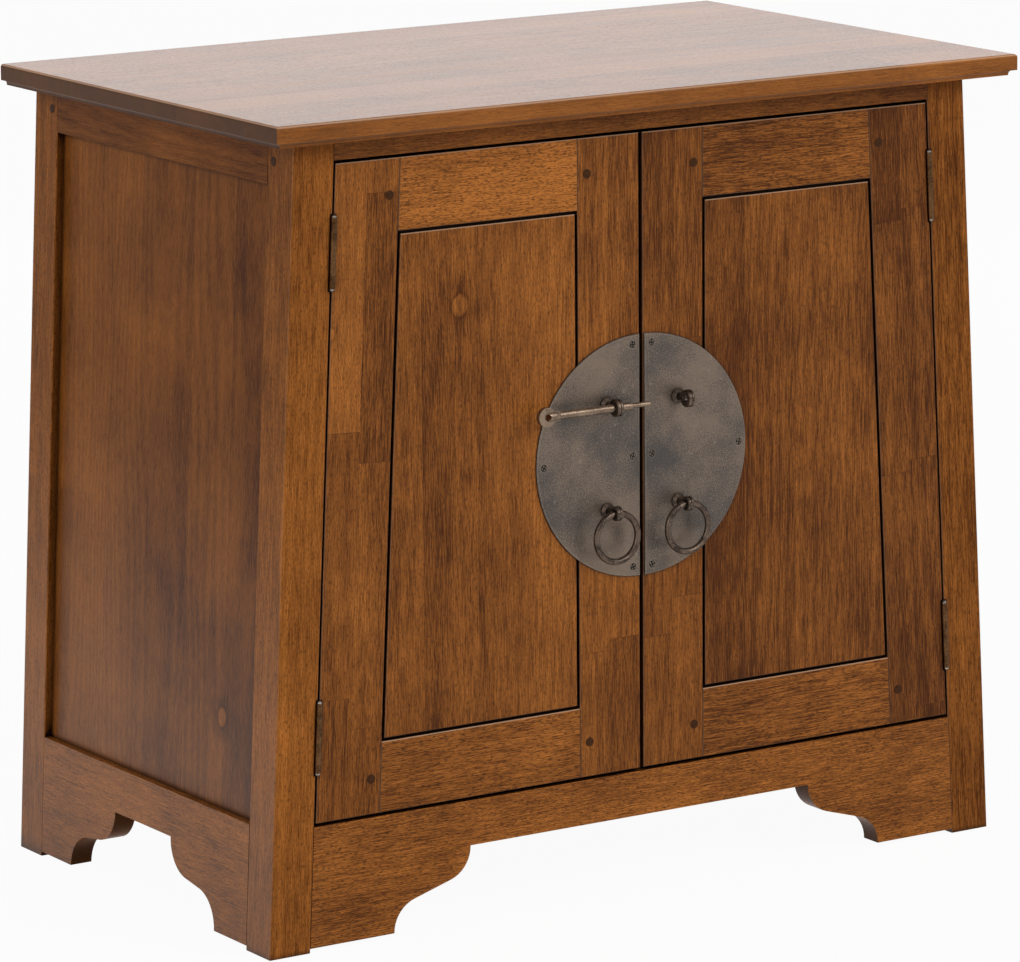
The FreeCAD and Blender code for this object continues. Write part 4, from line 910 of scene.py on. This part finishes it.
def plate_screws(side):
    """Four cross-headed screws in one half of the plate."""
    whole = bmesh.new()
    for (middle, face), turn in zip(loose_shapes(nodes[side + "_plate_screws"]), SCREW_TURNS):
        screw = cross_head_screw(PLATE_SCREW_RADIUS, PLATE_SHANK_RADIUS, PLATE_SCREW_LENGTH)
        place = (Matrix.Translation((middle.x, face, middle.z)) @ Matrix.Rotation(QUARTER, 4, "X")
                 @ Matrix.Rotation(math.radians(turn), 4, "Z"))
        bmesh.ops.transform(screw, verts=screw.verts, matrix=place)
        one = bpy.data.meshes.new("screw")
        screw.to_mesh(one)
        screw.free()
        whole.from_mesh(one)
        bpy.data.meshes.remove(one)
    return add_piece(side + "_cross_screws", whole, screw_steel, side + "_door", "screw_steel",
                     side + "_plate_screws")


for side in ("left", "right"):
    screws = plate_screws(side)
    print(screws.name, "has", len(screws.data.polygons), "faces")

# %% [markdown]
# The studio is a pale floor under an even white sky, with three soft lamps. The floor is a wide disc
# that shows its own soft glow to the camera, so it stays pale right to the edge of the picture. A
# plain white floor would need lamps that bleach the timber. A broad card behind the cabinet gives the
# top its pale sheen, because the camera sees the top at a low angle. The key lamp stands high in front
# on the right, so the front is brighter than the left side.

# %% Floor, sky and lamps
FLOOR_RADIUS = 30.0
FLOOR_SIDES = 96
FLOOR_COLOR = (0.62, 0.62, 0.62, 1.0)
FLOOR_ROUGHNESS = 0.9
FLOOR_SPECULAR = 0.1
FLOOR_WHITENESS = 0.95
SKY_COLOR = (1.0, 1.0, 1.0, 1.0)
SKY_STRENGTH = 0.55
bm = bmesh.new()
bmesh.ops.create_circle(bm, cap_ends=True, segments=FLOOR_SIDES, radius=FLOOR_RADIUS)
floor_mesh = bpy.data.meshes.new("floor")
bm.to_mesh(floor_mesh)
bm.free()
floor = bpy.data.objects.new("floor", floor_mesh)
bpy.context.scene.collection.objects.link(floor)
floor_finish, tree, shader = finish_material("pale_floor")
shader.inputs["Base Color"].default_value = FLOOR_COLOR
shader.inputs["Roughness"].default_value = FLOOR_ROUGHNESS
shader.inputs["Specular IOR Level"].default_value = FLOOR_SPECULAR
glow = put(tree, "ShaderNodeEmission")
seen = put(tree, "ShaderNodeLightPath").outputs
looked_at = calc(tree, "MAXIMUM", seen["Is Camera Ray"],
                 calc(tree, "MAXIMUM", seen["Is Glossy Ray"], seen["Is Transmission Ray"]))
pale = put(tree, "ShaderNodeMixShader")
feed(tree, pale.inputs["Fac"], calc(tree, "MULTIPLY", looked_at, FLOOR_WHITENESS))
tree.links.new(shader.outputs["BSDF"], pale.inputs[1])
tree.links.new(glow.outputs["Emission"], pale.inputs[2])
tree.links.new(pale.outputs["Shader"], tree.nodes["Material Output"].inputs["Surface"])
floor_mesh.materials.append(floor_finish)

sky = bpy.data.worlds.new("sky")
sky.use_nodes = True
sky.node_tree.nodes["Background"].inputs["Color"].default_value = SKY_COLOR
sky.node_tree.nodes["Background"].inputs["Strength"].default_value = SKY_STRENGTH
bpy.context.scene.world = sky


def add_lamp(name, place, target, width, height, power):
    """A soft rectangular lamp that faces a point."""
    lamp = bpy.data.objects.new(name, bpy.data.lights.new(name, "AREA"))
    lamp.data.shape = "RECTANGLE"
    lamp.data.size = width
    lamp.data.size_y = height
    lamp.data.energy = power
    lamp.location = place
    lamp.rotation_euler = (Vector(target) - Vector(place)).to_track_quat("-Z", "Y").to_euler()
    lamp.visible_camera = False
    bpy.context.scene.collection.objects.link(lamp)
    return lamp


CABINET_MIDDLE = (0.0, 0.0, 0.4)
TOP_MIDDLE = (0.0, 0.0, 0.75)
add_lamp("key", (1.7, -3.9, 3.0), CABINET_MIDDLE, width=2.2, height=2.2, power=100.0)
add_lamp("back_card", (2.0, 3.0, 1.25), TOP_MIDDLE, width=5.0, height=2.0, power=25.0)
add_lamp("fill", (-3.6, -1.6, 1.8), CABINET_MIDDLE, width=2.2, height=2.2, power=30.0)
print("lamps:", [item.name for item in bpy.data.lights])
